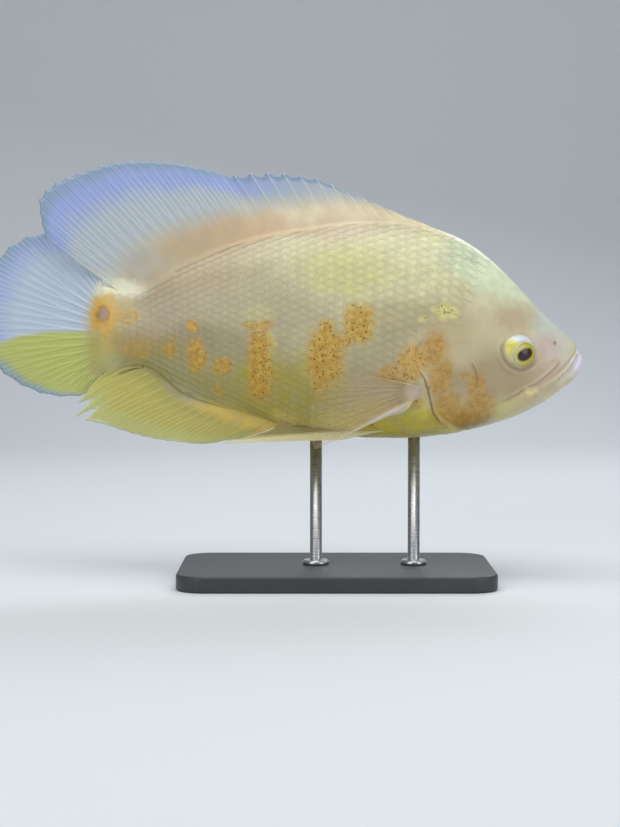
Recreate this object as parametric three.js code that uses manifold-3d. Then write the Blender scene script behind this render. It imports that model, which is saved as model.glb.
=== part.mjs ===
// A life-size adult oscar, a deep-bodied South American cichlid, held level on a two-rod display stand.
// Millimetres. X runs to the snout, Y to the fish's left side, Z up from the floor under the stand.
import * as THREE from "three";
import { mergeVertices } from "three/addons/utils/BufferGeometryUtils.js";
import Module from "manifold-3d";

const wasm = await Module();
wasm.setup();

// Clearance that neighbouring pieces keep, and a length past every piece, for cutters.
const GAP = 0.3;
const BEYOND = 260;

// Stations of the body, snout to tail root: back, widest line and belly as [x, z], and the half width.
// Along the jaws the widest line is the line of the mouth.
const STATIONS = [
  { back: [119, 115.7], flank: [119, 115.7], belly: [119, 115.7], half: 0 },
  { back: [119.6, 117.8], flank: [118.3, 114.2], belly: [121.8, 114], half: 7.6 },
  { back: [118.6, 119.4], flank: [116.8, 110.8], belly: [122.8, 110.4], half: 10.6 },
  { back: [115.2, 122.5], flank: [114, 106.6], belly: [121.6, 105.8], half: 12.8 },
  { back: [110.2, 127], flank: [110, 102.4], belly: [117.4, 100], half: 14.5 },
  { back: [104.2, 132.4], flank: [104.6, 98.6], belly: [110.4, 94.8], half: 16 },
  { back: [96.6, 140.4], flank: [97, 95.4], belly: [101, 88.3], half: 17.7 },
  { back: [87.6, 150.3], flank: [83.8, 95.8], belly: [88, 82], half: 19.6 },
  { back: [74.1, 162.5], flank: [68.9, 103.7], belly: [72, 77], half: 22 },
  { back: [59.1, 171.9], flank: [54.1, 114.9], belly: [56, 74], half: 23.8 },
  { back: [40, 177.6], flank: [36.5, 120.8], belly: [38, 72], half: 24.8 },
  { back: [12, 179], flank: [11, 124], belly: [12, 72.2], half: 24.3 },
  { back: [-18, 175.6], flank: [-18, 125.6], belly: [-18, 76], half: 22.2 },
  { back: [-46, 170], flank: [-46, 126.5], belly: [-46, 84.3], half: 18.5 },
  { back: [-75, 159.2], flank: [-74, 127], belly: [-74, 93], half: 13.6 },
  { back: [-88.7, 150.8], flank: [-86.9, 127], belly: [-86.9, 103.3], half: 10.8 },
  { back: [-98.7, 146.2], flank: [-97.5, 126.5], belly: [-97.9, 107.8], half: 8.6 },
  { back: [-115.7, 147.4], flank: [-115.3, 124.5], belly: [-115.9, 103.4], half: 4.4 },
];
const LAST = STATIONS.length - 1;
const JAW_END = 6; // the station at the corner of the mouth
const STALK_START = 15.4; // where the trunk is parted from the tail stalk
const CREST_POWER = 1.12; // above 1 makes the back narrower than an ellipse
const KEEL_POWER = 0.94; // below 1 makes the belly fuller than an ellipse

// Relief of the lips beside the line of the mouth: height, distance from the line, and spread.
const MOUTH_GROOVE = { height: -0.9, at: 0, spread: 0.7 };
const UPPER_LIP = { height: 0.95, at: 1.9, spread: 1.3 };
const LIP_FOLD = { height: -0.6, at: 4.1, spread: 0.8 };
const LOWER_LIP = { height: 1.4, at: -2.1, spread: 1.6 };
const LIPS_FROM = [0.2, 2]; // the relief grows in over these stations, behind the tip of the snout
// Columns of the head's surface lie this far above and below the line of the mouth.
const LIP_COLUMNS = [0, 0.8, 2, 3.1, 4.1, 5.4];
const CHIN_COLUMNS = [0, 0.8, 2.1, 4.2];
// Rings of the head's surface: from each station listed to the next, this many steps.
const HEAD_RINGS = [[0, 5], [1, 3], [2, 8], [6, 4], [7, 4], [8, 6], [10.4, 0]];

// Cuts seen from the side, as [x, z]: behind the head and gill covers, and along the lower jaw.
const GILL_CUT = [
  [63, 195], [58.5, 172], [56, 150], [53, 136], [47.5, 126], [41.3, 121.7], [37.9, 116.9], [37.5, 112.6],
  [39.4, 107.7], [42.8, 102.3], [44.8, 96.5], [45.8, 90.2], [47, 84.8], [51, 80.7], [58, 76.5], [64, 66],
];
const JAW_CUT = [
  [126, 116.6], [119, 115.7], [118.3, 114.2], [116.8, 110.8], [114, 106.6], [110, 102.4], [104.6, 98.6],
  [97, 95.4], [88, 91.6], [81, 86.6], [75, 79], [72, 68],
];
// The gill cover seen from the side, where it borders the cheek and nape, and the plate's thickness.
const GILL_COVER_EDGE = [
  [46, 125.2], [54, 123.8], [61, 121.6], [65.6, 116.5], [67.6, 108], [67.6, 98], [66, 90], [62.5, 83],
  [56, 76.5],
];
const GILL_COVER_DEEP = 2.6;
const GILL_SWELL = { height: 1.3, from: 68, to: 44 }; // the cover stands out more towards its free rear edge

// Eyes: the visible dome, the plug behind it, the way the socket faces and the way the pupil looks.
const EYE = {
  at: [89.8, 16.8, 115.2],
  rim: 8.4,
  domeRise: 3.9,
  plugDepth: 5.5,
  socket: [0.257, 0.95, 0.171],
  gaze: [0.38, 0.92, -0.03],
  irisRadius: 6.1,
  pupilRadius: 3.2,
};
const ORBIT_RIM = { height: 0.9, at: 9.7, spread: 1.6 };
const NOSTRIL = { at: [107.3, 119.4], radius: 0.8, bottomY: 10 }; // pits that run in from the skin to bottomY

// Fins. A thin web carries each ray as a ridge: half thicknesses of the web and of a ray at root and tip.
const WEB_HALF = 0.28;
const SOFT_RAY = { root: 0.75, tip: 0.34, wide: 0.75 };
const SPINE = { root: 1.1, tip: 0.3, wide: 0.9 };

const DORSAL = {
  spines: 13,
  spineRoots: [48.5, -33],
  spineTips: [[43, 178.4], [31.7, 182.9], [16.8, 189.5], [3, 195.3], [-8, 200.6], [-20.4, 202.9],
    [-36, 203.8], [-51, 202.7]],
  rays: 20,
  rayRoots: [-37.5, -106.5],
  rayTips: [[-57.5, 203.6], [-67.6, 206], [-82.5, 208.5], [-97.4, 209.5], [-110, 208.6], [-121, 205.4],
    [-132.2, 201.4], [-139.7, 197.4], [-146.5, 191], [-146, 180.5], [-144, 172]],
  bow: [3, -1.5], // how far the first and last soft ray bend off a straight line
  fleshHalf: 2.6,
  fleshHigh: 17,
  lean: [0.02, -0.13], // sideways slope of the first and last ray: the rear lobe passes right of the tail
};

const ANAL = {
  spines: 3,
  spineRoots: [-24.5, -33.5],
  spineTips: [[-31, 73.2], [-43, 71.6], [-54, 70]],
  rays: 13,
  rayRoots: [-38, -90],
  rayTips: [[-60.5, 69], [-68, 68.4], [-78, 69.4], [-90.6, 71], [-103, 74], [-113, 77.4], [-122, 79.8],
    [-131.5, 81]],
  // Behind a split in the web the last rays end higher.
  rearRays: 3,
  rearRoots: [-94.5, -103.5],
  rearTips: [[-129, 88.6], [-126, 91.2], [-122.8, 93.8]],
  bow: [-2, 3.5],
  fleshHalf: 2,
  fleshHigh: 11,
  lean: [0.0, -0.1],
};

const TAIL = {
  rays: 18,
  rootX: -116.1,
  rootZ: [146.8, 104.2],
  tips: [[-119.6, 157.6], [-129.5, 167.5], [-139, 172.6], [-147, 174.3], [-155, 172.3], [-163, 168], [-170, 161],
    [-176.5, 150.5], [-180, 138], [-180.3, 127], [-178.4, 117.5], [-174, 110.5], [-167.8, 104], [-158, 97.5],
    [-148, 93.5], [-138, 92], [-128.5, 92.4], [-118.6, 96.6]],
  bow: [-5, 5], // fades to nothing at both edges
  fleshHalf: 3.7,
  fleshHigh: 16,
  edgeFlesh: 0.3, // the share of the flesh that the first and last ray carry
  swing: 0.11, // the whole fin swings to the left
};

// Paired fins, for the left side: the root line and the tips as [x, y, z].
const PECTORAL = {
  rays: 14,
  root: [[39, 21.6, 98.6], [38, 19.6, 91.4]],
  tips: [[9, 28.5, 104.6], [-4.5, 30, 101.8], [-10.6, 31, 96.7], [-12.8, 31.5, 89.4], [-13.4, 32, 82],
    [-13.8, 32, 74.9], [-13, 31, 67.2], [-1, 29.5, 72], [10, 28, 77.2], [23, 26, 82.6], [32, 23.4, 84.8]],
  bow: 3,
  fleshHalf: 1.6,
  fleshHigh: 9,
};

const PELVIC = {
  rays: 6,
  root: [[33, 10.6, 77], [29, 7, 76.5]],
  tips: [[-6, 15.5, 71.2], [-56.5, 14, 69.7], [-41, 11.6, 70.2], [-27, 9.6, 70.4], [-14, 8, 70.6],
    [-3, 6.8, 70.6]],
  bow: -2.4,
  fleshHalf: 1,
  fleshHigh: 10,
};

// Display stand: a bevelled base plate and two steel rods with collars.
const BASE = { long: 156, wide: 92, thick: 8, corner: 14, bevel: 1.2 };
const ROD = { radius: 3, collarRadius: 6.5, collarHigh: 2.4, sunk: 5, x: [39, -10] };

const SKIN = { color: 0xe6dcae, roughness: 0.42, metalness: 0 };
const PALE_FIN = { color: 0xc9d3e2, roughness: 0.45, metalness: 0 };
const YELLOW_FIN = { color: 0xc9c463, roughness: 0.45, metalness: 0 };
const BEIGE_FIN = { color: 0xc4b08e, roughness: 0.45, metalness: 0 };
const EYE_YELLOW = { color: 0xd8cf4a, roughness: 0.15, metalness: 0 };
const BASE_PAINT = { color: 0x26282b, roughness: 0.5, metalness: 0 };
const STEEL = { color: 0xb9bcc0, roughness: 0.3, metalness: 1 };

const mix = (a, b, share) => a + (b - a) * share;
const clamp = (value, low, high) => Math.min(high, Math.max(low, value));
const hump = (distance, { height, at, spread }) => height * Math.exp(-(((distance - at) / spread) ** 2));

function smoothStep(from, to, value) {
  const share = clamp((value - from) / (to - from), 0, 1);
  return share * share * (3 - 2 * share);
}

// A smooth value through listed numbers, one for each whole station.
function through(values, station) {
  const last = values.length - 1;
  const i = clamp(Math.floor(station), 0, last - 1);
  const f = station - i;
  const before = values[Math.max(i - 1, 0)];
  const after = values[Math.min(i + 2, last)];
  const [a, b] = [values[i], values[i + 1]];
  const slopeA = (b - before) / 2;
  const slopeB = (after - a) / 2;
  const fromA = a * (1 + 2 * f) * (1 - f) ** 2 + slopeA * f * (1 - f) ** 2;
  const fromB = b * f * f * (3 - 2 * f) + slopeB * f * f * (f - 1);
  return fromA + fromB;
}

const stationValues = (pick) => STATIONS.map(pick);
const OUTLINE = {
  backX: stationValues((s) => s.back[0]),
  backZ: stationValues((s) => s.back[1]),
  flankX: stationValues((s) => s.flank[0]),
  flankZ: stationValues((s) => s.flank[1]),
  bellyX: stationValues((s) => s.belly[0]),
  bellyZ: stationValues((s) => s.belly[1]),
  half: stationValues((s) => s.half),
};

function sectionAt(station) {
  const section = {};
  for (const key of Object.keys(OUTLINE)) section[key] = through(OUTLINE[key], station);
  return section;
}

// A point of the body: angle 0 is the widest line, a quarter turn up is the back. inset draws the skin in.
function bodyPoint(station, angle, side, inset = 0) {
  const s = sectionAt(station);
  const up = Math.sin(angle);
  const above = up >= 0;
  const share = Math.abs(up);
  const endX = above ? s.backX : s.bellyX;
  const endZ = above ? s.backZ - inset : s.bellyZ + inset;
  const power = above ? CREST_POWER : KEEL_POWER;
  const out = Math.max(Math.cos(angle), 0) ** power;
  return new THREE.Vector3(
    mix(s.flankX, endX, share),
    side * Math.max(s.half - inset, 0) * out,
    mix(s.flankZ, endZ, share),
  );
}

// Distance along the skin above or below the line of the mouth.
function fromMouth(station, angle) {
  const s = sectionAt(station);
  const above = angle >= 0;
  const reach = above
    ? Math.hypot(s.backX - s.flankX, s.backZ - s.flankZ)
    : Math.hypot(s.bellyX - s.flankX, s.bellyZ - s.flankZ);
  return { reach, distance: Math.sin(angle) * reach };
}

// Height of the face's forms above the plain body: lips, the rim round the eye, and the gill cover.
function faceRelief(station, angle, point) {
  const { distance } = fromMouth(station, angle);
  const lips = smoothStep(...LIPS_FROM, station) * (1 - smoothStep(JAW_END - 0.6, JAW_END + 0.5, station));
  let height = lips * (hump(distance, MOUTH_GROOVE) + hump(distance, UPPER_LIP) + hump(distance, LIP_FOLD));
  height += lips * hump(distance, LOWER_LIP);
  const fromEye = Math.hypot(point.x - EYE.at[0], point.z - EYE.at[2]);
  height += hump(fromEye, ORBIT_RIM);
  const onCover = smoothStep(GILL_SWELL.from, GILL_SWELL.to, point.x) * smoothStep(128, 120, point.z);
  height += GILL_SWELL.height * onCover * smoothStep(76, 84, point.z);
  return height;
}

// The body's surface point with its relief, pushed out along the surface's own normal.
function facePoint(station, angle, side) {
  const point = bodyPoint(station, angle, side);
  const step = 0.02;
  const along = bodyPoint(Math.max(station - step, 0), angle, side).sub(
    bodyPoint(Math.min(station + step, LAST), angle, side),
  );
  const around = bodyPoint(station, angle + step, side).sub(bodyPoint(station, angle - step, side));
  const normal = around.cross(along).multiplyScalar(-side);
  if (normal.lengthSq() < 1e-12) return point;
  normal.normalize();
  if (Math.abs(angle) > Math.PI / 2 - 0.01) normal.y = 0;
  return point.addScaledVector(normal, faceRelief(station, angle, point));
}

// Angles of the columns on one side, from belly to back, gathered along the lips where lips is true.
function columnAngles(station, perQuarter, lips) {
  if (!lips) {
    const count = perQuarter * 2;
    return Array.from({ length: count + 1 }, (_, i) => -Math.PI / 2 + (Math.PI * i) / count);
  }
  const quarter = (sign, distances, steps) => {
    const { reach } = fromMouth(station, sign * 0.5);
    const tight = Math.min(1, (0.6 * reach) / distances.at(-1));
    const near = distances.map((d) => Math.asin(clamp((d * tight) / Math.max(reach, 1e-6), 0, 1)));
    const far = Array.from({ length: steps }, (_, i) => mix(near.at(-1), Math.PI / 2, (i + 1) / steps));
    return [...near, ...far].map((angle) => sign * angle);
  };
  const upper = quarter(1, LIP_COLUMNS, perQuarter);
  const lower = quarter(-1, CHIN_COLUMNS, perQuarter - 2);
  return [...lower.slice(1).reverse(), ...upper];
}

// Turns a geometry the right way out.
function facingOut(geometry) {
  const p = geometry.getAttribute("position");
  const index = geometry.index.array;
  const [a, b, c] = [new THREE.Vector3(), new THREE.Vector3(), new THREE.Vector3()];
  let volume = 0;
  for (let i = 0; i < index.length; i += 3) {
    a.fromBufferAttribute(p, index[i]);
    b.fromBufferAttribute(p, index[i + 1]);
    c.fromBufferAttribute(p, index[i + 2]);
    volume += a.dot(b.cross(c));
  }
  for (let i = 0; volume < 0 && i < index.length; i += 3) {
    [index[i + 1], index[i + 2]] = [index[i + 2], index[i + 1]];
  }
  return geometry;
}

// A closed body from rings of equal length, with a fan at each end.
function loft(rings) {
  const count = rings[0].length;
  const points = rings.flat();
  const faces = [];
  for (let r = 0; r + 1 < rings.length; r++) {
    for (let c = 0; c < count; c++) {
      const d = (c + 1) % count;
      const [p, q] = [r * count, (r + 1) * count];
      faces.push(p + c, q + c, q + d, p + c, q + d, p + d);
    }
  }
  for (const [ring, flip] of [[0, true], [rings.length - 1, false]]) {
    const centre = rings[ring].reduce((sum, v) => sum.add(v), new THREE.Vector3()).divideScalar(count);
    const hub = points.push(centre) - 1;
    for (let c = 0; c < count; c++) {
      const [p, q] = [ring * count + c, ring * count + ((c + 1) % count)];
      if (flip) faces.push(hub, p, q);
      else faces.push(hub, q, p);
    }
  }
  const geometry = new THREE.BufferGeometry().setFromPoints(points);
  geometry.setIndex(faces);
  return facingOut(geometry);
}

// A length of the body as a closed body, with a ring at each station given.
function bodyLength(stations, { perQuarter, lips = false, inset = 0 }) {
  const rings = [];
  for (const station of stations) {
    const angles = columnAngles(station, perQuarter, lips);
    const right = angles.map((angle) =>
      lips ? facePoint(station, angle, -1) : bodyPoint(station, angle, -1, inset),
    );
    const left = right.slice(1, -1).map((v) => new THREE.Vector3(v.x, -v.y, v.z)).reverse();
    rings.push([...right, ...left]);
  }
  return loft(rings);
}

const evenly = (from, to, steps) => Array.from({ length: steps + 1 }, (_, i) => mix(from, to, i / steps));

function headRings() {
  const stretches = HEAD_RINGS.slice(1).map(([to], i) => evenly(HEAD_RINGS[i][0], to, HEAD_RINGS[i][1]));
  return [HEAD_RINGS[0][0], ...stretches.flatMap((stations) => stations.slice(1))];
}

function solidFrom(geometry) {
  const open = geometry.index ? geometry.toNonIndexed() : geometry;
  const bare = new THREE.BufferGeometry().setAttribute("position", open.getAttribute("position"));
  const merged = mergeVertices(bare, 1e-4);
  const vertProperties = merged.attributes.position.array;
  const triVerts = new Uint32Array(merged.index.array);
  return new wasm.Manifold(new wasm.Mesh({ numProp: 3, vertProperties, triVerts }));
}

function geometryFrom(solid) {
  const bodies = solid.decompose().sort((a, b) => b.volume() - a.volume());
  const mesh = bodies[0].getMesh();
  const points = new Float32Array(mesh.numVert * 3);
  for (let i = 0; i < mesh.numVert; i++) {
    points.set(mesh.vertProperties.subarray(i * mesh.numProp, i * mesh.numProp + 3), i * 3);
  }
  const geometry = new THREE.BufferGeometry().setAttribute("position", new THREE.BufferAttribute(points, 3));
  return geometry.setIndex(new THREE.BufferAttribute(new Uint32Array(mesh.triVerts), 1));
}

// A block seen from the side as the outline, reaching from one Y to another.
function sideBlock(outline, fromY = -BEYOND, toY = BEYOND) {
  const shape = new THREE.Shape(outline.map(([x, z]) => new THREE.Vector2(x, z)));
  const block = new THREE.ExtrudeGeometry(shape, { depth: toY - fromY, bevelEnabled: false });
  return solidFrom(block.rotateX(Math.PI / 2).translate(0, toY, 0));
}

// Points along a smooth side-view curve, moved sideways off it by shift.
function curvePoints(points, steps, shift = 0) {
  const curve = new THREE.SplineCurve(points.map(([x, z]) => new THREE.Vector2(x, z)));
  return Array.from({ length: steps + 1 }, (_, i) => {
    const at = curve.getPointAt(i / steps);
    const tangent = curve.getTangentAt(i / steps);
    return [at.x - tangent.y * shift, at.y + tangent.x * shift];
  });
}

// The side of a cut that holds the corner points.
const cutSide = (cut, shift, corners) => sideBlock([...curvePoints(cut, 30, shift), ...corners]);

// Seat heights for fins: the heights of the back and the belly on the middle line.
function stationAtX(x, key) {
  let [low, high] = [2, LAST];
  for (let i = 0; i < 40; i++) {
    const middle = (low + high) / 2;
    if (through(OUTLINE[key], middle) > x) low = middle;
    else high = middle;
  }
  return low;
}

const crestHeight = (x) => sectionAt(stationAtX(x, "backX")).backZ;
const keelHeight = (x) => sectionAt(stationAtX(x, "bellyX")).bellyZ;

// A ray runs from its root to its tip in one bend; bow moves its middle off the straight line, and fullness
// is the share of the fin's flesh that it carries.
function bentRay(root, tip, bow, kind, { bowWay = null, fullness = 1 } = {}) {
  const along = tip.clone().sub(root);
  const way = bowWay ?? new THREE.Vector3(-along.z, 0, along.x).normalize().negate();
  const bend = root.clone().add(tip).multiplyScalar(0.5).addScaledVector(way, bow);
  return { curve: new THREE.QuadraticBezierCurve3(root, bend, tip), length: along.length(), kind, fullness };
}

// A fin as one closed web whose rays are ridges in its own surface. reach(i) is the share of the rays' length
// that the web between ray i and the next one covers. seat moves a root point onto what the fin grows from.
function finGeometry(rays, { rows, flesh, reach, seat }) {
  const fleshAt = (ray, share) =>
    ray.fullness * flesh.half * Math.max(0, 1 - (share * ray.length) / flesh.high) ** 1.6;
  const columns = [];
  rays.forEach((ray, i) => {
    const foot = (neighbour, pair) => rows.map((row) => {
      const share = row * reach(pair);
      const here = ray.curve.getPoint(share);
      const there = neighbour.curve.getPoint(share);
      const apart = here.distanceTo(there);
      const step = Math.min(mix(ray.kind.wide, ray.kind.wide * 0.7, share), 0.36 * apart) / apart;
      return { at: here.lerp(there, step), half: WEB_HALF + fleshAt(ray, share) };
    });
    if (i > 0) columns.push(foot(rays[i - 1], i - 1));
    columns.push(rows.map((share) => {
      const rayHalf = mix(ray.kind.root, ray.kind.tip, share ** 0.8);
      return { at: ray.curve.getPoint(share), half: Math.max(rayHalf, WEB_HALF * 0.9) + fleshAt(ray, share) };
    }));
    if (i + 1 < rays.length) columns.push(foot(rays[i + 1], i));
  });

  const [last, top] = [columns.length - 1, rows.length - 1];
  const normalAt = (c, r) => {
    const across = columns[Math.min(c + 1, last)][r].at.clone().sub(columns[Math.max(c - 1, 0)][r].at);
    const along = columns[c][Math.min(r + 1, top)].at.clone().sub(columns[c][Math.max(r - 1, 0)].at);
    return across.cross(along).normalize();
  };
  const points = [];
  const number = (c, r, face) => 2 * (c * rows.length + r) + face;
  columns.forEach((column, c) => column.forEach(({ at, half }, r) => {
    for (const way of [1, -1]) {
      const point = at.clone().addScaledVector(normalAt(c, r), way * half);
      points.push(r === 0 && seat ? seat(point) : point);
    }
  }));
  const faces = [];
  for (let c = 0; c < last; c++) {
    for (let r = 0; r < top; r++) {
      const corner = (face) => [
        number(c, r, face), number(c + 1, r, face), number(c + 1, r + 1, face), number(c, r + 1, face),
      ];
      const [a, b, d, e] = corner(0);
      faces.push(a, b, d, a, d, e);
      const [f, g, h, k] = corner(1);
      faces.push(f, h, g, f, k, h);
    }
  }
  const wall = (c, r, nextC, nextR) => {
    const [a, b] = [number(c, r, 0), number(nextC, nextR, 0)];
    faces.push(a, a + 1, b + 1, a, b + 1, b);
  };
  for (let c = 0; c < last; c++) {
    wall(c, 0, c + 1, 0);
    wall(c + 1, top, c, top);
  }
  for (let r = 0; r < top; r++) {
    wall(last, r, last, r + 1);
    wall(0, r + 1, 0, r);
  }
  const geometry = new THREE.BufferGeometry().setFromPoints(points);
  geometry.setIndex(faces);
  return facingOut(geometry);
}

const rankOf = (i, count) => i / (count - 1);

// Rays of an upright fin: roots spaced in X on the body's edge, tips spaced along the tip curve.
function uprightRays(count, roots, tips, { edge, bow, lean, kind, from = 0, to = 1 }) {
  const curve = new THREE.SplineCurve(tips.map(([x, z]) => new THREE.Vector2(x, z)));
  return Array.from({ length: count }, (_, i) => {
    const rank = rankOf(i, count);
    const inFin = mix(from, to, rank);
    const x = mix(roots[0], roots[1], rank);
    const end = curve.getPointAt(rank);
    const root = new THREE.Vector3(x, 0, edge(x));
    const reach = Math.hypot(end.x - x, end.y - root.z);
    const tip = new THREE.Vector3(end.x, mix(lean[0], lean[1], inFin) * reach, end.y);
    return bentRay(root, tip, mix(bow[0], bow[1], inFin), kind);
  });
}

const UPRIGHT_ROWS = [0, 0.1, 0.24, 0.46, 0.7, 0.88, 1];
const onCrest = (x) => crestHeight(x) + GAP;
const onKeel = (x) => keelHeight(x) - GAP;
const seatOnCrest = (v) => v.setZ(onCrest(v.x));
const seatOnKeel = (v) => v.setZ(onKeel(v.x));

function dorsalFin() {
  const spiny = uprightRays(DORSAL.spines, DORSAL.spineRoots, DORSAL.spineTips, {
    edge: onCrest, bow: [0, 1.5], lean: [0, DORSAL.lean[0]], kind: SPINE,
  });
  const soft = uprightRays(DORSAL.rays, DORSAL.rayRoots, DORSAL.rayTips, {
    edge: onCrest, bow: DORSAL.bow, lean: DORSAL.lean, kind: SOFT_RAY,
  });
  return finGeometry([...spiny, ...soft], {
    rows: UPRIGHT_ROWS,
    flesh: { half: DORSAL.fleshHalf, high: DORSAL.fleshHigh },
    reach: (pair) => (pair < DORSAL.spines ? 0.93 : 0.985),
    seat: seatOnCrest,
  });
}

function analFin() {
  const spines = uprightRays(ANAL.spines, ANAL.spineRoots, ANAL.spineTips, {
    edge: onKeel, bow: [0, 0], lean: [0, 0], kind: SPINE,
  });
  const soft = uprightRays(ANAL.rays, ANAL.rayRoots, ANAL.rayTips, {
    edge: onKeel, bow: ANAL.bow, lean: ANAL.lean, kind: SOFT_RAY, to: 0.8,
  });
  const rear = uprightRays(ANAL.rearRays, ANAL.rearRoots, ANAL.rearTips, {
    edge: onKeel, bow: ANAL.bow, lean: ANAL.lean, kind: SOFT_RAY, from: 0.85,
  });
  const splitAt = ANAL.spines + ANAL.rays - 1;
  return finGeometry([...spines, ...soft, ...rear], {
    rows: UPRIGHT_ROWS,
    flesh: { half: ANAL.fleshHalf, high: ANAL.fleshHigh },
    reach: (pair) => (pair === splitAt ? 0.78 : pair < ANAL.spines ? 0.9 : 0.985),
    seat: seatOnKeel,
  });
}

function tailFin() {
  const tips = new THREE.SplineCurve(TAIL.tips.map(([x, z]) => new THREE.Vector2(x, z)));
  const rays = Array.from({ length: TAIL.rays }, (_, i) => {
    const rank = rankOf(i, TAIL.rays);
    const end = tips.getPointAt(rank);
    const root = new THREE.Vector3(TAIL.rootX, 0, mix(TAIL.rootZ[0], TAIL.rootZ[1], rank));
    const reach = Math.hypot(end.x - root.x, end.y - root.z);
    const tip = new THREE.Vector3(end.x, TAIL.swing * reach, end.y);
    const fullness = mix(TAIL.edgeFlesh, 1, Math.sin(Math.PI * rank));
    const bow = mix(TAIL.bow[0], TAIL.bow[1], rank) * Math.sin(Math.PI * rank);
    return bentRay(root, tip, bow, SOFT_RAY, { fullness });
  });
  return finGeometry(rays, {
    rows: [0, 0.12, 0.3, 0.52, 0.76, 0.92, 1],
    flesh: { half: TAIL.fleshHalf, high: TAIL.fleshHigh },
    reach: () => 0.985,
    seat: (v) => v.setX(TAIL.rootX),
  });
}

// A paired fin, its root sunk into the body and then cut clear of it by the gap.
function pairedFin(fin, side, rows, body) {
  const place = ([x, y, z]) => new THREE.Vector3(x, side * y, z);
  const tips = new THREE.CatmullRomCurve3(fin.tips.map(place), false, "centripetal");
  const roots = fin.root.map(place);
  const out = new THREE.Vector3(0, side, 0);
  const listed = fin.tips.length === fin.rays;
  const rays = Array.from({ length: fin.rays }, (_, i) => {
    const rank = rankOf(i, fin.rays);
    const tip = listed ? place(fin.tips[i]) : tips.getPointAt(rank);
    return bentRay(roots[0].clone().lerp(roots[1], rank), tip, fin.bow, SOFT_RAY, { bowWay: out });
  });
  const flesh = { half: fin.fleshHalf, high: fin.fleshHigh };
  return geometryFrom(solidFrom(finGeometry(rays, { rows, flesh, reach: () => 0.98 })).subtract(body));
}

// A dome, ring or plug turned about an axis through a centre.
function turned(profile, centre, axis, segments = 20) {
  const lathe = new THREE.LatheGeometry(profile.map(([r, h]) => new THREE.Vector2(r, h)), segments);
  const up = new THREE.Vector3(0, 1, 0);
  const turn = new THREE.Quaternion().setFromUnitVectors(up, axis.clone().normalize());
  return solidFrom(lathe.applyQuaternion(turn).translate(centre.x, centre.y, centre.z));
}

const domeRadius = (EYE.rim ** 2 + EYE.domeRise ** 2) / (2 * EYE.domeRise);
const domeAngle = Math.asin(EYE.rim / domeRadius);

// The eye's profile about its socket axis: a plug below and a dome above, grown all round by extra.
function eyeProfile(extra) {
  const bottom = -EYE.plugDepth - extra;
  const profile = [[0, bottom], [EYE.rim * 0.6, bottom], [EYE.rim + extra, 0]];
  const steps = 5;
  for (let i = 1; i < steps; i++) {
    const a = domeAngle * (1 - i / steps);
    const rise = domeRadius * Math.cos(a) - domeRadius + EYE.domeRise;
    profile.push([domeRadius * Math.sin(a) + (extra * (steps - i)) / steps, rise + extra]);
  }
  profile.push([0, EYE.domeRise + extra]);
  return profile;
}

// A thin lens on the dome's sphere, for the iris or the pupil.
function lensProfile(radius, proud) {
  const steps = 4;
  const angle = Math.asin(radius / domeRadius);
  const profile = [[0, domeRadius - 2]];
  profile.push([radius * 0.8, (domeRadius - 2) * Math.cos(angle)]);
  for (let i = 0; i < steps; i++) {
    const a = angle * (1 - i / steps);
    const r = domeRadius + proud * Math.sin((Math.PI / 2) * Math.min(1, (i + 0.4) / 2));
    profile.push([r * Math.sin(a), r * Math.cos(a)]);
  }
  profile.push([0, domeRadius + proud]);
  return profile;
}

function eyeParts(side) {
  const place = ([x, y, z]) => new THREE.Vector3(x, side * y, z);
  const [at, socket, gaze] = [EYE.at, EYE.socket, EYE.gaze].map(place);
  const sphereCentre = at.clone().addScaledVector(socket.clone().normalize(), EYE.domeRise - domeRadius);
  const ball = turned(eyeProfile(0), at, socket)
    .add(turned(lensProfile(EYE.irisRadius, 0.35), sphereCentre, gaze))
    .add(turned(lensProfile(EYE.pupilRadius, 0.6), sphereCentre, gaze, 16));
  return { ball, socketCut: turned(eyeProfile(GAP), at, socket) };
}

function nostrilCut(side) {
  const [x, z] = NOSTRIL.at;
  const pit = new THREE.CylinderGeometry(NOSTRIL.radius, NOSTRIL.radius, BEYOND, 10);
  return solidFrom(pit.translate(x, side * (BEYOND / 2 + NOSTRIL.bottomY), z));
}

function headParts() {
  const whole = solidFrom(bodyLength(headRings(), { perQuarter: 7, lips: true }));
  const under = (inset) => solidFrom(bodyLength(evenly(6, 10.4, 9), { perQuarter: 6, inset }));
  const core = under(GILL_COVER_DEEP + GAP);
  const shell = under(GILL_COVER_DEEP);
  const inFront = cutSide(GILL_CUT, 0, [[BEYOND, 60], [BEYOND, 195]]);
  const aboveJaw = cutSide(JAW_CUT, -GAP / 2, [[72, 40], [-BEYOND, 40], [-BEYOND, BEYOND], [126, BEYOND]]);
  const belowJaw = cutSide(JAW_CUT, GAP / 2, [[72, 40], [BEYOND, 40], [BEYOND, 116.6]]);

  const coverSide = curvePoints(GILL_COVER_EDGE, 24);
  const coverCut = curvePoints(GILL_COVER_EDGE, 24, GAP);
  const behind = [[56, 60], [0, 60], [0, 125.2]];
  const skull = whole.intersect(inFront).intersect(aboveJaw);
  const parts = { jaw: whole.intersect(inFront).intersect(belowJaw) };
  parts.head = skull.subtract(sideBlock([...coverCut, ...behind]));
  parts.head = parts.head.add(core.intersect(inFront).intersect(aboveJaw));
  for (const side of [1, -1]) {
    const { ball, socketCut } = eyeParts(side);
    parts.head = parts.head.subtract(socketCut).subtract(nostrilCut(side));
    const [fromY, toY] = side > 0 ? [1, BEYOND] : [-BEYOND, -1];
    const cover = skull.intersect(sideBlock([...coverSide, ...behind], fromY, toY)).subtract(shell);
    parts[side > 0 ? "leftEye" : "rightEye"] = ball;
    parts[side > 0 ? "leftCover" : "rightCover"] = cover;
  }
  return parts;
}

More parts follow.
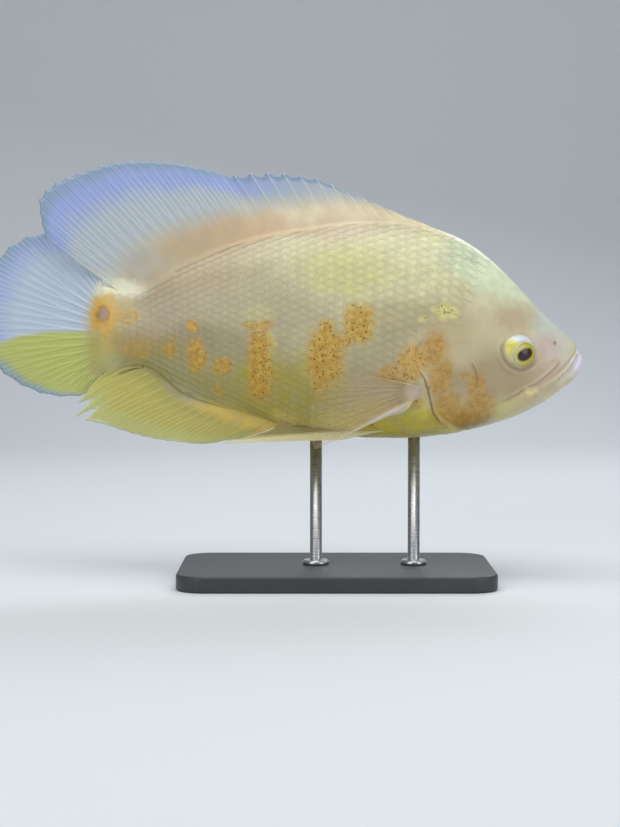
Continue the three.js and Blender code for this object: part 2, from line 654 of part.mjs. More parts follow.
function trunkParts() {
  const trunk = solidFrom(bodyLength(evenly(8.4, STALK_START, 18), { perQuarter: 8 }));
  const behindGills = cutSide(GILL_CUT, -GAP, [[-BEYOND, 60], [-BEYOND, 195]]);
  const stalk = bodyLength(evenly(STALK_START + 0.03, LAST, 5), { perQuarter: 7 });
  return { torso: trunk.intersect(behindGills), stalk };
}

function standBase() {
  const [x, y, r] = [BASE.long / 2 - BASE.bevel, BASE.wide / 2 - BASE.bevel, BASE.corner];
  const plan = new THREE.Shape();
  plan.moveTo(-x + r, -y).lineTo(x - r, -y).absarc(x - r, -y + r, r, -Math.PI / 2, 0);
  plan.lineTo(x, y - r).absarc(x - r, y - r, r, 0, Math.PI / 2);
  plan.lineTo(-x + r, y).absarc(-x + r, y - r, r, Math.PI / 2, Math.PI);
  plan.lineTo(-x, -y + r).absarc(-x + r, -y + r, r, Math.PI, Math.PI * 1.5);
  const plate = new THREE.ExtrudeGeometry(plan, {
    depth: BASE.thick - 2 * BASE.bevel, bevelThickness: BASE.bevel, bevelSize: BASE.bevel, bevelSegments: 1,
    curveSegments: 5,
  });
  let base = solidFrom(plate.translate(0, 0, BASE.bevel));
  for (const rodX of ROD.x) {
    const hole = new THREE.CylinderGeometry(ROD.radius + GAP, ROD.radius + GAP, 2 * ROD.sunk, 16);
    base = base.subtract(solidFrom(hole.rotateX(Math.PI / 2).translate(rodX, 0, BASE.thick)));
  }
  return base;
}

function standRod(x, body) {
  const [foot, seat, high] = [BASE.thick - ROD.sunk + GAP, BASE.thick + GAP, keelHeight(x) + 4];
  const profile = [
    [0, foot], [ROD.radius, foot], [ROD.radius, seat], [ROD.collarRadius, seat],
    [ROD.collarRadius, seat + ROD.collarHigh * 0.6], [ROD.collarRadius - 1, seat + ROD.collarHigh],
    [ROD.radius, seat + ROD.collarHigh], [ROD.radius, high], [0, high],
  ];
  const lathe = new THREE.LatheGeometry(profile.map(([r, h]) => new THREE.Vector2(r, h)), 16);
  return solidFrom(lathe.rotateX(Math.PI / 2).translate(x, 0, 0)).subtract(body);
}

const oscar = new THREE.Group();
oscar.name = "oscar_on_stand";

function addPiece(name, shape, look) {
  const geometry = shape.isBufferGeometry ? shape : geometryFrom(shape);
  const mesh = new THREE.Mesh(geometry, new THREE.MeshStandardMaterial(look));
  mesh.name = name;
  oscar.add(mesh);
}

const head = headParts();
addPiece("head", head.head, SKIN);
addPiece("lower_jaw", head.jaw, SKIN);
addPiece("gill_cover_left", head.leftCover, SKIN);
addPiece("gill_cover_right", head.rightCover, SKIN);
addPiece("eye_left", head.leftEye, EYE_YELLOW);
addPiece("eye_right", head.rightEye, EYE_YELLOW);

const trunk = trunkParts();
addPiece("torso", trunk.torso, SKIN);
addPiece("tail_stalk", trunk.stalk, SKIN);

addPiece("dorsal_fin", dorsalFin(), PALE_FIN);
addPiece("tail_fin", tailFin(), PALE_FIN);
addPiece("anal_fin", analFin(), YELLOW_FIN);

const bodyClear = solidFrom(bodyLength(evenly(6, 14, 26), { perQuarter: 10, inset: -GAP }));
const PAIRED_ROWS = [0, 0.12, 0.32, 0.56, 0.8, 1];
for (const [name, side] of [["left", 1], ["right", -1]]) {
  addPiece(`pectoral_fin_${name}`, pairedFin(PECTORAL, side, PAIRED_ROWS, bodyClear), BEIGE_FIN);
  addPiece(`pelvic_fin_${name}`, pairedFin(PELVIC, side, PAIRED_ROWS, bodyClear), YELLOW_FIN);
}

addPiece("stand_base", standBase(), BASE_PAINT);
addPiece("stand_rod_front", standRod(ROD.x[0], bodyClear), STEEL);
addPiece("stand_rod_rear", standRod(ROD.x[1], bodyClear), STEEL);

export default oscar;
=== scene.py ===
# A life-size adult oscar, a deep-bodied cichlid, as a still museum model on a small two-rod stand.
# X runs to the snout, Y to the fish's left side and Z up from the surface under the base.
# Sizes are in millimetres, and MM makes them metres where a mesh is placed.
import bisect
import functools
import math
import random

import bmesh
import bpy
from mathutils import Matrix, Vector, noise


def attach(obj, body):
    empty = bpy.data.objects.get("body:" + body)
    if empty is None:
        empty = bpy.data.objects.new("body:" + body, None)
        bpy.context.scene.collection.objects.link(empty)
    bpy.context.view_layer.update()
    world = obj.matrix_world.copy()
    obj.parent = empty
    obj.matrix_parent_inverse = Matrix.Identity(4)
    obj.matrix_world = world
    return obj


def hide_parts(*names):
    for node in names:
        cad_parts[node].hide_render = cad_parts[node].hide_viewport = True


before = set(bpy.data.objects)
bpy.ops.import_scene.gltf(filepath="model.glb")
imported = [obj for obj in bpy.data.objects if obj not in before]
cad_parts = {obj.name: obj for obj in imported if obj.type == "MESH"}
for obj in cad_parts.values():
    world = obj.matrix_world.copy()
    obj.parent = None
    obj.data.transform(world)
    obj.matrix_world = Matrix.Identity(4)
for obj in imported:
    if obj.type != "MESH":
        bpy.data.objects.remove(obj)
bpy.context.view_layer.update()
MM = 0.001

# The skin
# One smooth, wet skin covers the muscle of head, jaws, gill covers, trunk and tail stalk. It is a closed tube
# through a row of cross sections, with lips, nostrils, creases and the sockets of the eyes pressed into it.
SECTIONS = [
    # back, widest line, which on the jaws is the line of the mouth, belly, and half width
    ((119, 115.7), (119, 115.7), (119, 115.7), 0),
    ((119.6, 117.8), (118.3, 114.2), (121.8, 114), 7.6),
    ((118.6, 119.4), (116.8, 110.8), (122.8, 110.4), 10.6),
    ((115.2, 122.5), (114, 106.6), (121.6, 105.8), 12.8),
    ((110.2, 127), (110, 102.4), (117.4, 100), 14.5),
    ((104.2, 132.4), (104.6, 98.6), (110.4, 94.8), 16),
    ((96.6, 140.4), (97, 95.4), (101, 88.3), 17.7),
    ((87.6, 150.3), (83.8, 95.8), (88, 82), 19.6),
    ((74.1, 162.5), (68.9, 103.7), (72, 77), 22),
    ((59.1, 171.9), (54.1, 114.9), (56, 74), 23.8),
    ((40, 177.6), (36.5, 120.8), (38, 72), 24.8),
    ((12, 179), (11, 124), (12, 72.2), 24.3),
    ((-18, 175.6), (-18, 125.6), (-18, 76), 22.2),
    ((-46, 170), (-46, 126.5), (-46, 84.3), 18.5),
    ((-75, 159.2), (-74, 127), (-74, 93), 13.6),
    ((-88.7, 150.8), (-86.9, 127), (-86.9, 103.3), 10.8),
    ((-98.7, 146.2), (-97.5, 126.5), (-97.9, 107.8), 8.6),
    ((-115.7, 147.4), (-115.3, 124.5), (-115.9, 103.4), 4.4),
]
LAST = len(SECTIONS) - 1
JAW_END = 6  # the section at the corner of the mouth
BACK_POWER = 1.12  # above 1 the back is narrower than an ellipse
BELLY_POWER = 0.94  # below 1 the belly is fuller than an ellipse
SCALE_DEEP = 0.2  # the skin is drawn in this much to make room for the scales
END_REACH = 12  # how far the stalk thins out over the root of the tail fin
TAIL_ROOT_X = -116.1
TAIL_SWING = 0.11  # the tail fin leans this much to the fish's left

# Rings of the skin from one section to the next, and columns round one side, closest at the line of the mouth
SKIN_RINGS = [(0, 16), (1, 20), (2, 60), (6, 22), (7, 30), (8, 66), (10.2, 30), (12, 60), (17, 14), (18, 0)]
SKIN_COLUMNS = 84
MOUTH_GATHER = 0.31

# The left eye's middle, the radius of its rim, how far its socket reaches, and the way the socket faces
EYE_AT = Vector((89.8, 16.8, 115.2))
EYE_RIM = 8.5
SOCKET_REACH = 14
SOCKET_WAY = Vector((0.257, 0.95, 0.171)).normalized()

# Places and lines of the side view, as X and Z
NOSTRIL_AT = (107.3, 119.4)
MOUTH_CORNER = (95.2, 96.2)
GILL_OPENING = [
    (50, 127.5), (46, 124.5), (41, 121.2), (37.8, 116.5), (37.7, 112), (39.5, 106.4), (42.6, 102),
    (44.4, 96.5), (45.9, 90.5), (47.4, 85), (51, 80.2), (58, 76.5), (66, 74),
]
CHEEK_EDGE = [(64.8, 110.8), (66.4, 108.6), (67.8, 106), (68.4, 102.6), (68.4, 99.5), (67.6, 95)]
LIP_FOLD = [(110, 112.5), (108.6, 108.9), (104, 104.5), (97.6, 99.5), (91.4, 96.6), (84.2, 92.3), (79, 89.9)]
NAPE_CREASE = [(84, 143), (79, 139.5), (74, 138)]

# Relief beside those places and lines: height, distance from the line, and spread
UPPER_LIP = (0.45, 2.6, 1.3)
LOWER_LIP = (1.5, -2.5, 1.8)
UNDER_LIP = (-0.25, -6.2, 1.2)
LIP_WRINKLES = (1, -2.4, 1.3)
NOSTRIL_RIM, NOSTRIL_PIT = (0.2, 1.2, 0.5), (-1.3, 0, 0.6)
MOUTH_KNOB = (0.9, 0, 2.2)
FOLD_GROOVE, FOLD_SWELL = (-0.55, 0, 0.65), (0.4, 2, 1.5)
NAPE_DIP = (-0.25, 0, 1.4)
CHEEK_GROOVE, CHEEK_SWELL = (-0.5, 0, 0.5), (0.35, 1.6, 1.3)
SOCKET_RIM = (0.2, 9, 1.6)
LOWER_LID, BAG_UNDER_LID = (-0.5, 9.7, 0.8), (0.4, 11.6, 1.2)
SOCKET_FLOOR = -6
GILL_GROOVE, GILL_STEP = -0.4, 0.9  # depth of the slit, and height of the gill cover's edge over the trunk
SKIN_UNEVEN = 0.14  # height of the broad unevenness all over
SKIN_UNEVEN_SIZE = 17

# Painted shade in the creases, and paleness beside the gill slit, given as the relief is
MOUTH_DARK, NOSTRIL_DARK, FOLD_DARK = (0.5, 0.5, 0.5), (1.0, 0, 0.7), (0.4, 0, 0.6)
CHEEK_DARK, GILL_DARK, GILL_PALE, SOCKET_DARK = (0.6, 0, 0.4), (1.0, 0, 0.5), (0.3, 1.2, 0.7), (0.4, 9, 1.1)


def mix(a, b, share):
    return a + (b - a) * share


def clamp(value, low, high):
    return max(low, min(high, value))


def smooth(start, end, value):
    share = clamp((value - start) / (end - start), 0, 1)
    return share * share * (3 - 2 * share)


def hump(distance, height, at, spread):
    return height * math.exp(-(((distance - at) / spread) ** 2))


@functools.cache
def section_at(station):
    """A cross section between those listed: X and Z of back, flank and belly, and the half width."""
    i = int(clamp(math.floor(station), 0, LAST - 1))
    f = station - i
    near = [SECTIONS[max(i - 1, 0)], SECTIONS[i], SECTIONS[i + 1], SECTIONS[min(i + 2, LAST)]]
    rows = [(*back, *flank, *belly, half) for back, flank, belly, half in near]
    weight_a, weight_b = (1 + 2 * f) * (1 - f) ** 2, f * f * (3 - 2 * f)
    slope_a, slope_b = f * (1 - f) ** 2 / 2, f * f * (f - 1) / 2
    return tuple(
        a * weight_a + b * weight_b + (b - before) * slope_a + (after - a) * slope_b
        for before, a, b, after in zip(*rows)
    )


def on_section(section, turn):
    """A point round a section: turn 0 is the left flank, a quarter turn the back, half a turn the right."""
    back_x, back_z, flank_x, flank_z, belly_x, belly_z, half = section
    up, out = math.sin(turn), math.cos(turn)
    end_x, end_z, power = (back_x, back_z, BACK_POWER) if up >= 0 else (belly_x, belly_z, BELLY_POWER)
    wide = max(half, 0) * abs(out) ** power
    return Vector((mix(flank_x, end_x, abs(up)), math.copysign(wide, out), mix(flank_z, end_z, abs(up))))


def body_frame(station, turn):
    """The plain body's point and outward direction."""
    step = 0.02
    section = section_at(station)
    ahead = on_section(section_at(max(station - step, 0)), turn)
    behind = on_section(section_at(min(station + step, LAST)), turn)
    around = on_section(section, turn + step) - on_section(section, turn - step)
    out = (ahead - behind).cross(around)
    return on_section(section, turn), out.normalized() if out.length > 1e-9 else Vector((1, 0, 0))


def to_line(x, z, line):
    """Distance to a line of points, which side of it the place is on, and how far along it lies, 0 to 1."""
    best = (1e9, 1, 0)
    for i, ((ax, az), (bx, bz)) in enumerate(zip(line, line[1:])):
        run_x, run_z = bx - ax, bz - az
        share = clamp(((x - ax) * run_x + (z - az) * run_z) / (run_x**2 + run_z**2), 0, 1)
        off_x, off_z = x - ax - share * run_x, z - az - share * run_z
        away = math.hypot(off_x, off_z)
        if away < best[0]:
            side = 1 if run_x * off_z - run_z * off_x > 0 else -1
            best = (away, side, (i + share) / (len(line) - 1))
    return best


def lip_forms(station, turn, section):
    """Height of the lips beside the line of the mouth, and the shade painted along that line."""
    back_x, back_z, flank_x, flank_z, belly_x, belly_z, _ = section
    up = math.sin(turn)
    end_x, end_z = (back_x, back_z) if up >= 0 else (belly_x, belly_z)
    off = up * math.hypot(end_x - flank_x, end_z - flank_z)
    share = smooth(0.2, 2, station) * (1 - smooth(JAW_END - 0.6, JAW_END + 0.4, station))
    lower = hump(off, *LOWER_LIP) + hump(off, *UNDER_LIP)
    lower += 0.05 * math.sin(station * 31) * hump(off, *LIP_WRINKLES)
    gape = 1 - 0.85 * smooth(3.6, 5.2, station)
    groove = hump(off, 0.8 * gape, 0.6, 0.55)
    return share * (hump(off, *UPPER_LIP) + lower - groove), share * gape * hump(off, *MOUTH_DARK)


def face_forms(x, z):
    """Height, painted crease shade and paleness of the folds, nostril and gill opening at a place of the side
    view.
    """
    height, crease_shade, pale = 0.0, 0.0, 0.0
    if x > 60:
        from_nostril = math.hypot(x - NOSTRIL_AT[0], z - NOSTRIL_AT[1])
        height += hump(from_nostril, *NOSTRIL_RIM) + hump(from_nostril, *NOSTRIL_PIT)
        crease_shade += hump(from_nostril, *NOSTRIL_DARK)
        away, side, along = to_line(x, z, LIP_FOLD)
        fade = smooth(0, 0.2, along) * smooth(1, 0.75, along)
        height += fade * (hump(away, *FOLD_GROOVE) + (hump(away, *FOLD_SWELL) if side < 0 else 0))
        crease_shade += fade * hump(away, *FOLD_DARK)
        from_corner = math.hypot(x - MOUTH_CORNER[0], (z - MOUTH_CORNER[1]) * 1.2)
        height += hump(from_corner, *MOUTH_KNOB)
        away, _, along = to_line(x, z, NAPE_CREASE)
        height += smooth(0, 0.3, along) * smooth(1, 0.6, along) * hump(away, *NAPE_DIP)
    if 30 < x < 82 and z < 132:
        away, side, along = to_line(x, z, CHEEK_EDGE)
        fade = smooth(0, 0.25, along) * smooth(1, 0.7, along)
        height += fade * (hump(away, *CHEEK_GROOVE) + (hump(away, *CHEEK_SWELL) if side < 0 else 0))
        crease_shade += fade * hump(away, *CHEEK_DARK)
        away, side, along = to_line(x, z, GILL_OPENING)
        fade = smooth(0.1, 0.26, along) * smooth(1, 0.86, along)
        if side > 0:
            height += fade * (mix(GILL_GROOVE, GILL_STEP, smooth(0, 0.9, away)) * smooth(20, 2, away))
            pale += fade * smooth(0.3, 0.55, along) * hump(away, *GILL_PALE)
        else:
            height -= fade * GILL_STEP * (1 - smooth(0.2, 5, away))
        crease_shade += fade * smooth(0.3, 0.55, along) * smooth(0.98, 0.75, along) * hump(away, *GILL_DARK)
    return height, crease_shade, pale


def set_in_socket(point):
    """Presses the left eye's socket into the cheek, with a soft fold under it and shade painted into that
    fold.
    """
    off = point - EYE_AT
    rise = off.dot(SOCKET_WAY)
    across = off - SOCKET_WAY * rise
    away = across.length
    if abs(rise) > 9 or away > SOCKET_REACH:
        return point, 0.0
    below = smooth(3, -4, across.z + 0.5 * across.x)
    wanted = SOCKET_FLOOR * (1 - smooth(4.8, 7.2, away)) + (1 - below) * hump(away, *SOCKET_RIM)
    wanted += below * (hump(away, *LOWER_LID) + hump(away, *BAG_UNDER_LID))
    keep = smooth(9, SOCKET_REACH, away)
    return point + SOCKET_WAY * (mix(wanted, rise, keep) - rise), below * hump(away, *SOCKET_DARK)


def skin_point(station, turn):
    """A point of the skin on the left side, with the shade painted into its creases there and how pale it is.
    """
    section = section_at(min(station, LAST))
    point, out = body_frame(min(station, LAST), turn)
    height, crease_shade, pale = face_forms(point.x, point.z)
    if station < JAW_END + 1:
        lips, lip_shade = lip_forms(station, turn, section)
        height, crease_shade = height + lips, crease_shade + lip_shade
    uneven = SKIN_UNEVEN * noise.noise(point / SKIN_UNEVEN_SIZE)
    height += uneven - SCALE_DEEP * smooth(7, 9, station)
    point += out * height
    if point.x > 70:
        # the socket also gives the shade painted into the fold under the eye
        point, fold = set_in_socket(point)
        crease_shade += fold
    past = max(station - LAST, 0)
    if past > 0:
        point.x -= END_REACH * past
        point.y *= 1 - smooth(0, 1, past)
        point.z = mix(point.z, section[3], 0.25 * past**3)
    return point, clamp(crease_shade, 0, 1), clamp(pale, 0, 1)


rings = []
for (start, steps), (end, _) in zip(SKIN_RINGS, SKIN_RINGS[1:]):
    rings += [mix(start, end, k / steps) for k in range(steps)]
rings.append(LAST + 1)


def ring_place(share):
    """The station at a share of the rings' count."""
    at = share * (len(rings) - 1)
    i = min(int(at), len(rings) - 2)
    return mix(rings[i], rings[i + 1], at - i)


bm = bmesh.new()
unwrap = bm.verts.layers.float_vector.new("unwrap")
# per point: painted shade in the creases, and paleness beside the gill slit
crease_shade_layer = bm.verts.layers.float.new("crease_shade")
pale_layer = bm.verts.layers.float.new("pale")
uv = bm.loops.layers.uv.new("Skin")
bmesh.ops.create_grid(bm, x_segments=len(rings) - 1, y_segments=SKIN_COLUMNS, size=0.5)
for v in bm.verts:
    v[unwrap] = Vector((v.co.x + 0.5, (v.co.y + 0.5) / 2, 0))


def skin_turn(share, station):
    """Even shares of a girth, gathered at the two flanks in front."""
    gather = MOUTH_GATHER * (1 - smooth(6.5, 9.5, station))
    return -math.pi / 2 + math.tau * share + gather * math.sin(2 * math.tau * share)


def needs_detail(face):
    """Round the eye, on the lips and at the edges of the cheek and gill cover the mesh is finer."""
    middle = sum((v[unwrap] for v in face.verts), Vector()) / len(face.verts)
    station = ring_place(middle.x)
    point = on_section(section_at(min(station, LAST)), skin_turn(middle.y, station))
    near_eye = math.hypot(point.x - EYE_AT.x, point.z - EYE_AT.z) < SOCKET_REACH
    near_nostril = math.hypot(point.x - NOSTRIL_AT[0], point.z - NOSTRIL_AT[1]) < 3
    if near_eye or near_nostril or to_line(point.x, point.z, LIP_FOLD)[0] < 2.5:
        return True
    return to_line(point.x, point.z, GILL_OPENING)[0] < 3 or to_line(point.x, point.z, CHEEK_EDGE)[0] < 2.5


detailed = [face for face in bm.faces if needs_detail(face)]
edges = list({edge for face in detailed for edge in face.edges})
bmesh.ops.subdivide_edges(bm, edges=edges, cuts=1, use_grid_fill=True)
for v in bm.verts:
    share_along, share_round, _ = v[unwrap]
    station = ring_place(share_along)
    point, v[crease_shade_layer], v[pale_layer] = skin_point(station, skin_turn(share_round, station))
    v.co = point * MM
for face in bm.faces:
    for loop in face.loops:
        loop[uv].uv = loop.vert[unwrap].xy
everything = bm.verts[:] + bm.edges[:] + bm.faces[:]
bmesh.ops.mirror(bm, geom=everything, matrix=Matrix.Identity(4), merge_dist=1e-6, axis="Y", mirror_v=True)
bmesh.ops.remove_doubles(bm, verts=bm.verts, dist=1e-6)
for v in bm.verts:
    v.co.y += TAIL_SWING * max(0, TAIL_ROOT_X * MM - v.co.x)


def turned_out(bm):
    """Turns a closed mesh's faces outwards and shades it smooth."""
    bmesh.ops.recalc_face_normals(bm, faces=bm.faces)
    for face in bm.faces:
        face.smooth = True


def placed(name, data):
    """Adds an object to the scene, at the origin."""
    made = bpy.data.objects.new(name, data)
    bpy.context.scene.collection.objects.link(made)
    return made


def finished(name, bm, material, nodes=()):
    """Makes the piece's object, riding on the model's one body, in place of the solids named."""
    mesh = bpy.data.meshes.new(name)
    bm.to_mesh(mesh)
    bm.free()
    piece = placed(name, mesh)
    mesh.materials.append(material)
    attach(piece, "root")
    if nodes:
        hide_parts(*nodes)


def rgb(red, green, blue):
    """A colour as seen on a screen, 0 to 255, as the light values that a shader takes."""
    def light(value):
        value /= 255
        return value / 12.92 if value <= 0.04045 else ((value + 0.055) / 1.055) ** 2.4
    return (light(red), light(green), light(blue), 1)


def node(tree, kind, inputs=(), **settings):
    """A shader node with its settings, and each input set to a value or joined to another node's output."""
    made = tree.nodes.new(kind)
    for key, value in settings.items():
        setattr(made, key, value)
    for key, value in dict(inputs).items():
        if isinstance(value, bpy.types.NodeSocket):
            tree.links.new(value, made.inputs[key])
        else:
            made.inputs[key].default_value = value
    return made


def blend(tree, share, under, over):
    """The first colour, with a share of the second over it."""
    return node(tree, "ShaderNodeMix", {0: share, 6: under, 7: over}, data_type="RGBA").outputs[2]


def sum_of(tree, way, *values):
    return node(tree, "ShaderNodeMath", dict(enumerate(values)), operation=way).outputs[0]


def times(tree, *values):
    return sum_of(tree, "MULTIPLY", *values)


def vector_sum(tree, way, *values):
    return node(tree, "ShaderNodeVectorMath", dict(enumerate(values)), operation=way).outputs[0]


def tinted(tree, colour, cover, strength, tint):
    """The colour with a tint laid over it where cover says, at the strength given."""
    return blend(tree, times(tree, cover, strength), colour, tint)


def object_place(tree):
    return node(tree, "ShaderNodeTexCoord").outputs["Object"]


def ranged(tree, value, start, end, low=0.0, high=1.0, soft=True):
    """The value's place between start and end, from low to high."""
    ends = {"Value": value, "From Min": start, "From Max": end, "To Min": low, "To Max": high}
    way = {"interpolation_type": "SMOOTHSTEP" if soft else "LINEAR", "clamp": not soft}
    return node(tree, "ShaderNodeMapRange", ends, **way).outputs[0]


def cloud(tree, place, scale, detail, output=0):
    values = {"Vector": place, "Scale": scale, "Detail": detail}
    return node(tree, "ShaderNodeTexNoise", values).outputs[output]


def wobbled(tree, place, scale, reach, detail=3.0):
    """A place pushed about by noise, so that edges drawn with it are uneven."""
    middle = (0.5, 0.5, 0.5)
    centred = vector_sum(tree, "SUBTRACT", cloud(tree, place, scale, detail, 1), middle)
    return vector_sum(tree, "MULTIPLY_ADD", centred, (reach, reach, reach), place)


def covered(tree, place, x, z, long, high, tilt, soft, square=False):
    """How strongly an oval, or a squarish patch, of the side view covers a place, 0 to 1."""
    if tilt:
        turn = {"Vector": place, "Center": (x * MM, 0, z * MM), "Angle": math.radians(-tilt)}
        place = node(tree, "ShaderNodeVectorRotate", turn, rotation_type="Y_AXIS").outputs[0]
    shrink = (1 / (long * MM), 0, 1 / (high * MM))
    local = vector_sum(tree, "MULTIPLY_ADD", place, shrink, (-x / long, 0, -z / high))
    if square:
        local = vector_sum(tree, "MULTIPLY", local, local)
    away = node(tree, "ShaderNodeVectorMath", {0: local}, operation="LENGTH").outputs["Value"]
    if square:
        away = sum_of(tree, "SQRT", away)
    return ranged(tree, away, 1 + soft / 2, 1 - soft / 2)


def new_group(name, inputs, outputs):
    """A node group with its input and output sockets, and the nodes that stand for them inside it."""
    group = bpy.data.node_groups.new(name, "ShaderNodeTree")
    for label, kind in inputs:
        group.interface.new_socket(label, in_out="INPUT", socket_type=kind)
    for label, kind in outputs:
        group.interface.new_socket(label, in_out="OUTPUT", socket_type=kind)
    return group, group.nodes.new("NodeGroupInput"), group.nodes.new("NodeGroupOutput")


# The living colours: a lemon cream ground with soft washes over it, each an oval of the side view
GROUND = rgb(200, 190, 152)
WASHES = [
    # x, z, half length, half height, tilt, strength, colour
    (38, 155, 42, 26, 0, 0.95, rgb(224, 220, 170)),
    (-14, 163, 34, 14, 3, 0.7, rgb(216, 206, 162)),
    (78, 152, 26, 17, 42, 0.9, rgb(214, 228, 194)),
    (66, 126, 30, 12, 0, 0.6, rgb(190, 176, 140)),
    (38, 131, 26, 11, 0, 0.7, rgb(184, 170, 130)),
    (106, 124, 13, 10, 40, 0.85, rgb(192, 202, 194)),
    (100, 108, 16, 12, 0, 0.75, rgb(192, 172, 154)),
    (76, 100, 22, 14, 0, 0.85, rgb(162, 144, 110)),
    (-40, 175, 42, 7, 0, 0.9, rgb(208, 180, 146)),
    (4, 179, 32, 6, 0, 0.75, rgb(220, 202, 174)),
    (-14, 188, 44, 8, 4, 0.9, rgb(224, 212, 182)),
    (-72, 158, 34, 17, -22, 0.8, rgb(188, 166, 132)),
    (-98, 158, 16, 9, 0, 0.8, rgb(182, 178, 166)),
    (3, 156, 19, 11, 0, 0.55, rgb(216, 210, 132)),
    (-50, 132, 34, 18, 0, 0.6, rgb(178, 164, 128)),
    (-92, 128, 26, 12, 0, 0.6, rgb(180, 160, 124)),
    (-74, 119, 14, 9, 0, 0.6, rgb(148, 138, 104)),
    (-86, 142, 14, 9, 0, 0.55, rgb(166, 152, 124)),
    (-54, 116, 13, 12, 0, 0.5, rgb(150, 138, 96)),
    (-82, 106, 34, 11, 20, 0.8, rgb(162, 150, 78)),
    (14, 110, 22, 20, 0, 0.6, rgb(178, 162, 122)),
    (-28, 94, 34, 20, 10, 0.85, rgb(172, 156, 34)),
    (-46, 77, 34, 9, 8, 1.0, rgb(236, 206, 104)),
    (30, 79, 34, 9, 0, 0.95, rgb(208, 190, 64)),
    (86, 85, 26, 7, -24, 0.75, rgb(200, 188, 136)),
    (108, 98, 14, 5, -40, 0.8, rgb(202, 192, 156)),
    (-119, 152, 9, 8, 0, 0.8, rgb(198, 206, 198)),
    (-120, 112, 11, 13, 0, 0.85, rgb(174, 170, 88)),
]
TOUCHES = [
    # the same, smaller and with more ragged edges
    (86, 131, 11, 7, 10, 0.9, rgb(178, 160, 126)),
    (105, 118.4, 6, 5, 0, 0.45, rgb(190, 160, 156)),
    (114.6, 112, 9, 2.2, -60, 0.5, rgb(186, 188, 166)),
    (119.8, 109.8, 7, 3.2, -62, 1.0, rgb(226, 220, 236)),
    (113.2, 103.4, 6.5, 1.6, -50, 0.9, rgb(216, 208, 190)),
    (103, 103, 9, 3.2, -40, 0.55, rgb(188, 164, 148)),
    (66, 81, 9, 4, -10, 0.9, rgb(126, 102, 52)),
    (95.4, 95.6, 2.6, 2.2, -30, 0.9, rgb(222, 208, 150)),
    (88.5, 91.6, 7.5, 1.8, -34, 0.6, rgb(204, 188, 140)),
    # a painted highlight along the top of the tail stalk, where the light from above falls
    (-107, 146, 11, 4.6, 0, 0.9, rgb(228, 230, 204)),
    (-112, 133.5, 12, 11, 0, 0.5, rgb(204, 178, 104)),
    (-96, 119, 20, 6, 0, 0.5, rgb(174, 148, 88)),
]

# Orange blotches and yellow flecks: x, z, half length, half height, tilt, whether squarish, strength
TRUNK_BLOTCHES = [
    (-37.7, 108.8, 5.8, 17.4, 0, True, 1.0), (-38, 127.6, 7, 2.6, 0, False, 0.75),
    (-5.4, 112, 8.4, 13, 4, True, 1.0), (-5.4, 123.5, 4.4, 7, 0, False, 0.95),
    (-8, 101, 5, 7.5, 0, False, 0.8), (4, 120, 4, 3, 0, False, 0.9), (10.4, 128.6, 6.8, 9.3, 10, True, 0.9),
    (-56.1, 107.5, 4.7, 4.4, 0, False, 0.9), (-58.8, 96.2, 2, 3.6, 0, False, 0.6),
    (-68.6, 112.8, 4.8, 8.4, 0, False, 0.95), (-70.7, 127.2, 2.9, 3.2, 0, False, 0.95),
    (-82.4, 116.1, 3, 4.1, 30, False, 0.8), (-98.6, 115.7, 7.6, 5, 0, False, 0.5),
    (-112.5, 121, 4.4, 7, 0, False, 0.35), (-102.5, 132.4, 5.8, 3.6, -8, False, 0.5),
    (36, 109, 6.6, 9.6, 20, False, 0.8), (27.5, 104.5, 8, 4.4, -8, False, 0.75),
    (39.3, 90.4, 3.8, 3.6, 0, False, 0.65), (15.6, 77.3, 5.4, 1.2, -8, False, 0.7),
]
CHEEK_BLOTCHES = [
    (47.6, 115.5, 6.4, 9, 12, False, 0.95), (50.4, 102, 5.8, 11, 10, False, 0.95),
    (54, 88.4, 7, 8.6, 24, False, 0.9), (61.5, 83.6, 13, 4.8, -8, False, 0.9),
    (68.2, 96.5, 4.6, 8.4, 6, False, 0.85), (70, 89, 7.6, 7.4, 20, False, 0.9),
    (62, 103, 4.2, 2.2, 0, False, 0.6),
]
YELLOW_FLECKS = [
    (52.6, 134.5, 5.8, 3.8, 0, False, 1.0), (41.4, 131, 2.4, 1.5, 0, False, 0.8),
    (-32, 120.5, 2, 6, 0, False, 0.6),
    (-38, 133, 8, 5, 0, False, 0.35), (11, 128, 9, 11, 0, False, 0.35), (-5, 112, 10.5, 15, 0, False, 0.3),
    (39, 90, 5, 4.6, 0, False, 0.6), (82, 87, 9, 2.4, -18, False, 0.35),
]
EYESPOT = (-115.4, 133.2, 7, 8.7)  # the ringed spot at the root of the tail: x, z, half length, half height


def side_place(tree):
    """A place on the fish. The pattern is moved a little on the left, as the two sides are never alike."""
    place = object_place(tree)
    sides = node(tree, "ShaderNodeSeparateXYZ", {0: place}).outputs
    on_left = ranged(tree, sides["Y"], 0.001, 0.015)
    sided = vector_sum(tree, "MULTIPLY_ADD", on_left, (0.005, 0, -0.004), place)
    return place, sides, sided, wobbled(tree, sided, 240, 0.0062, 4.0)


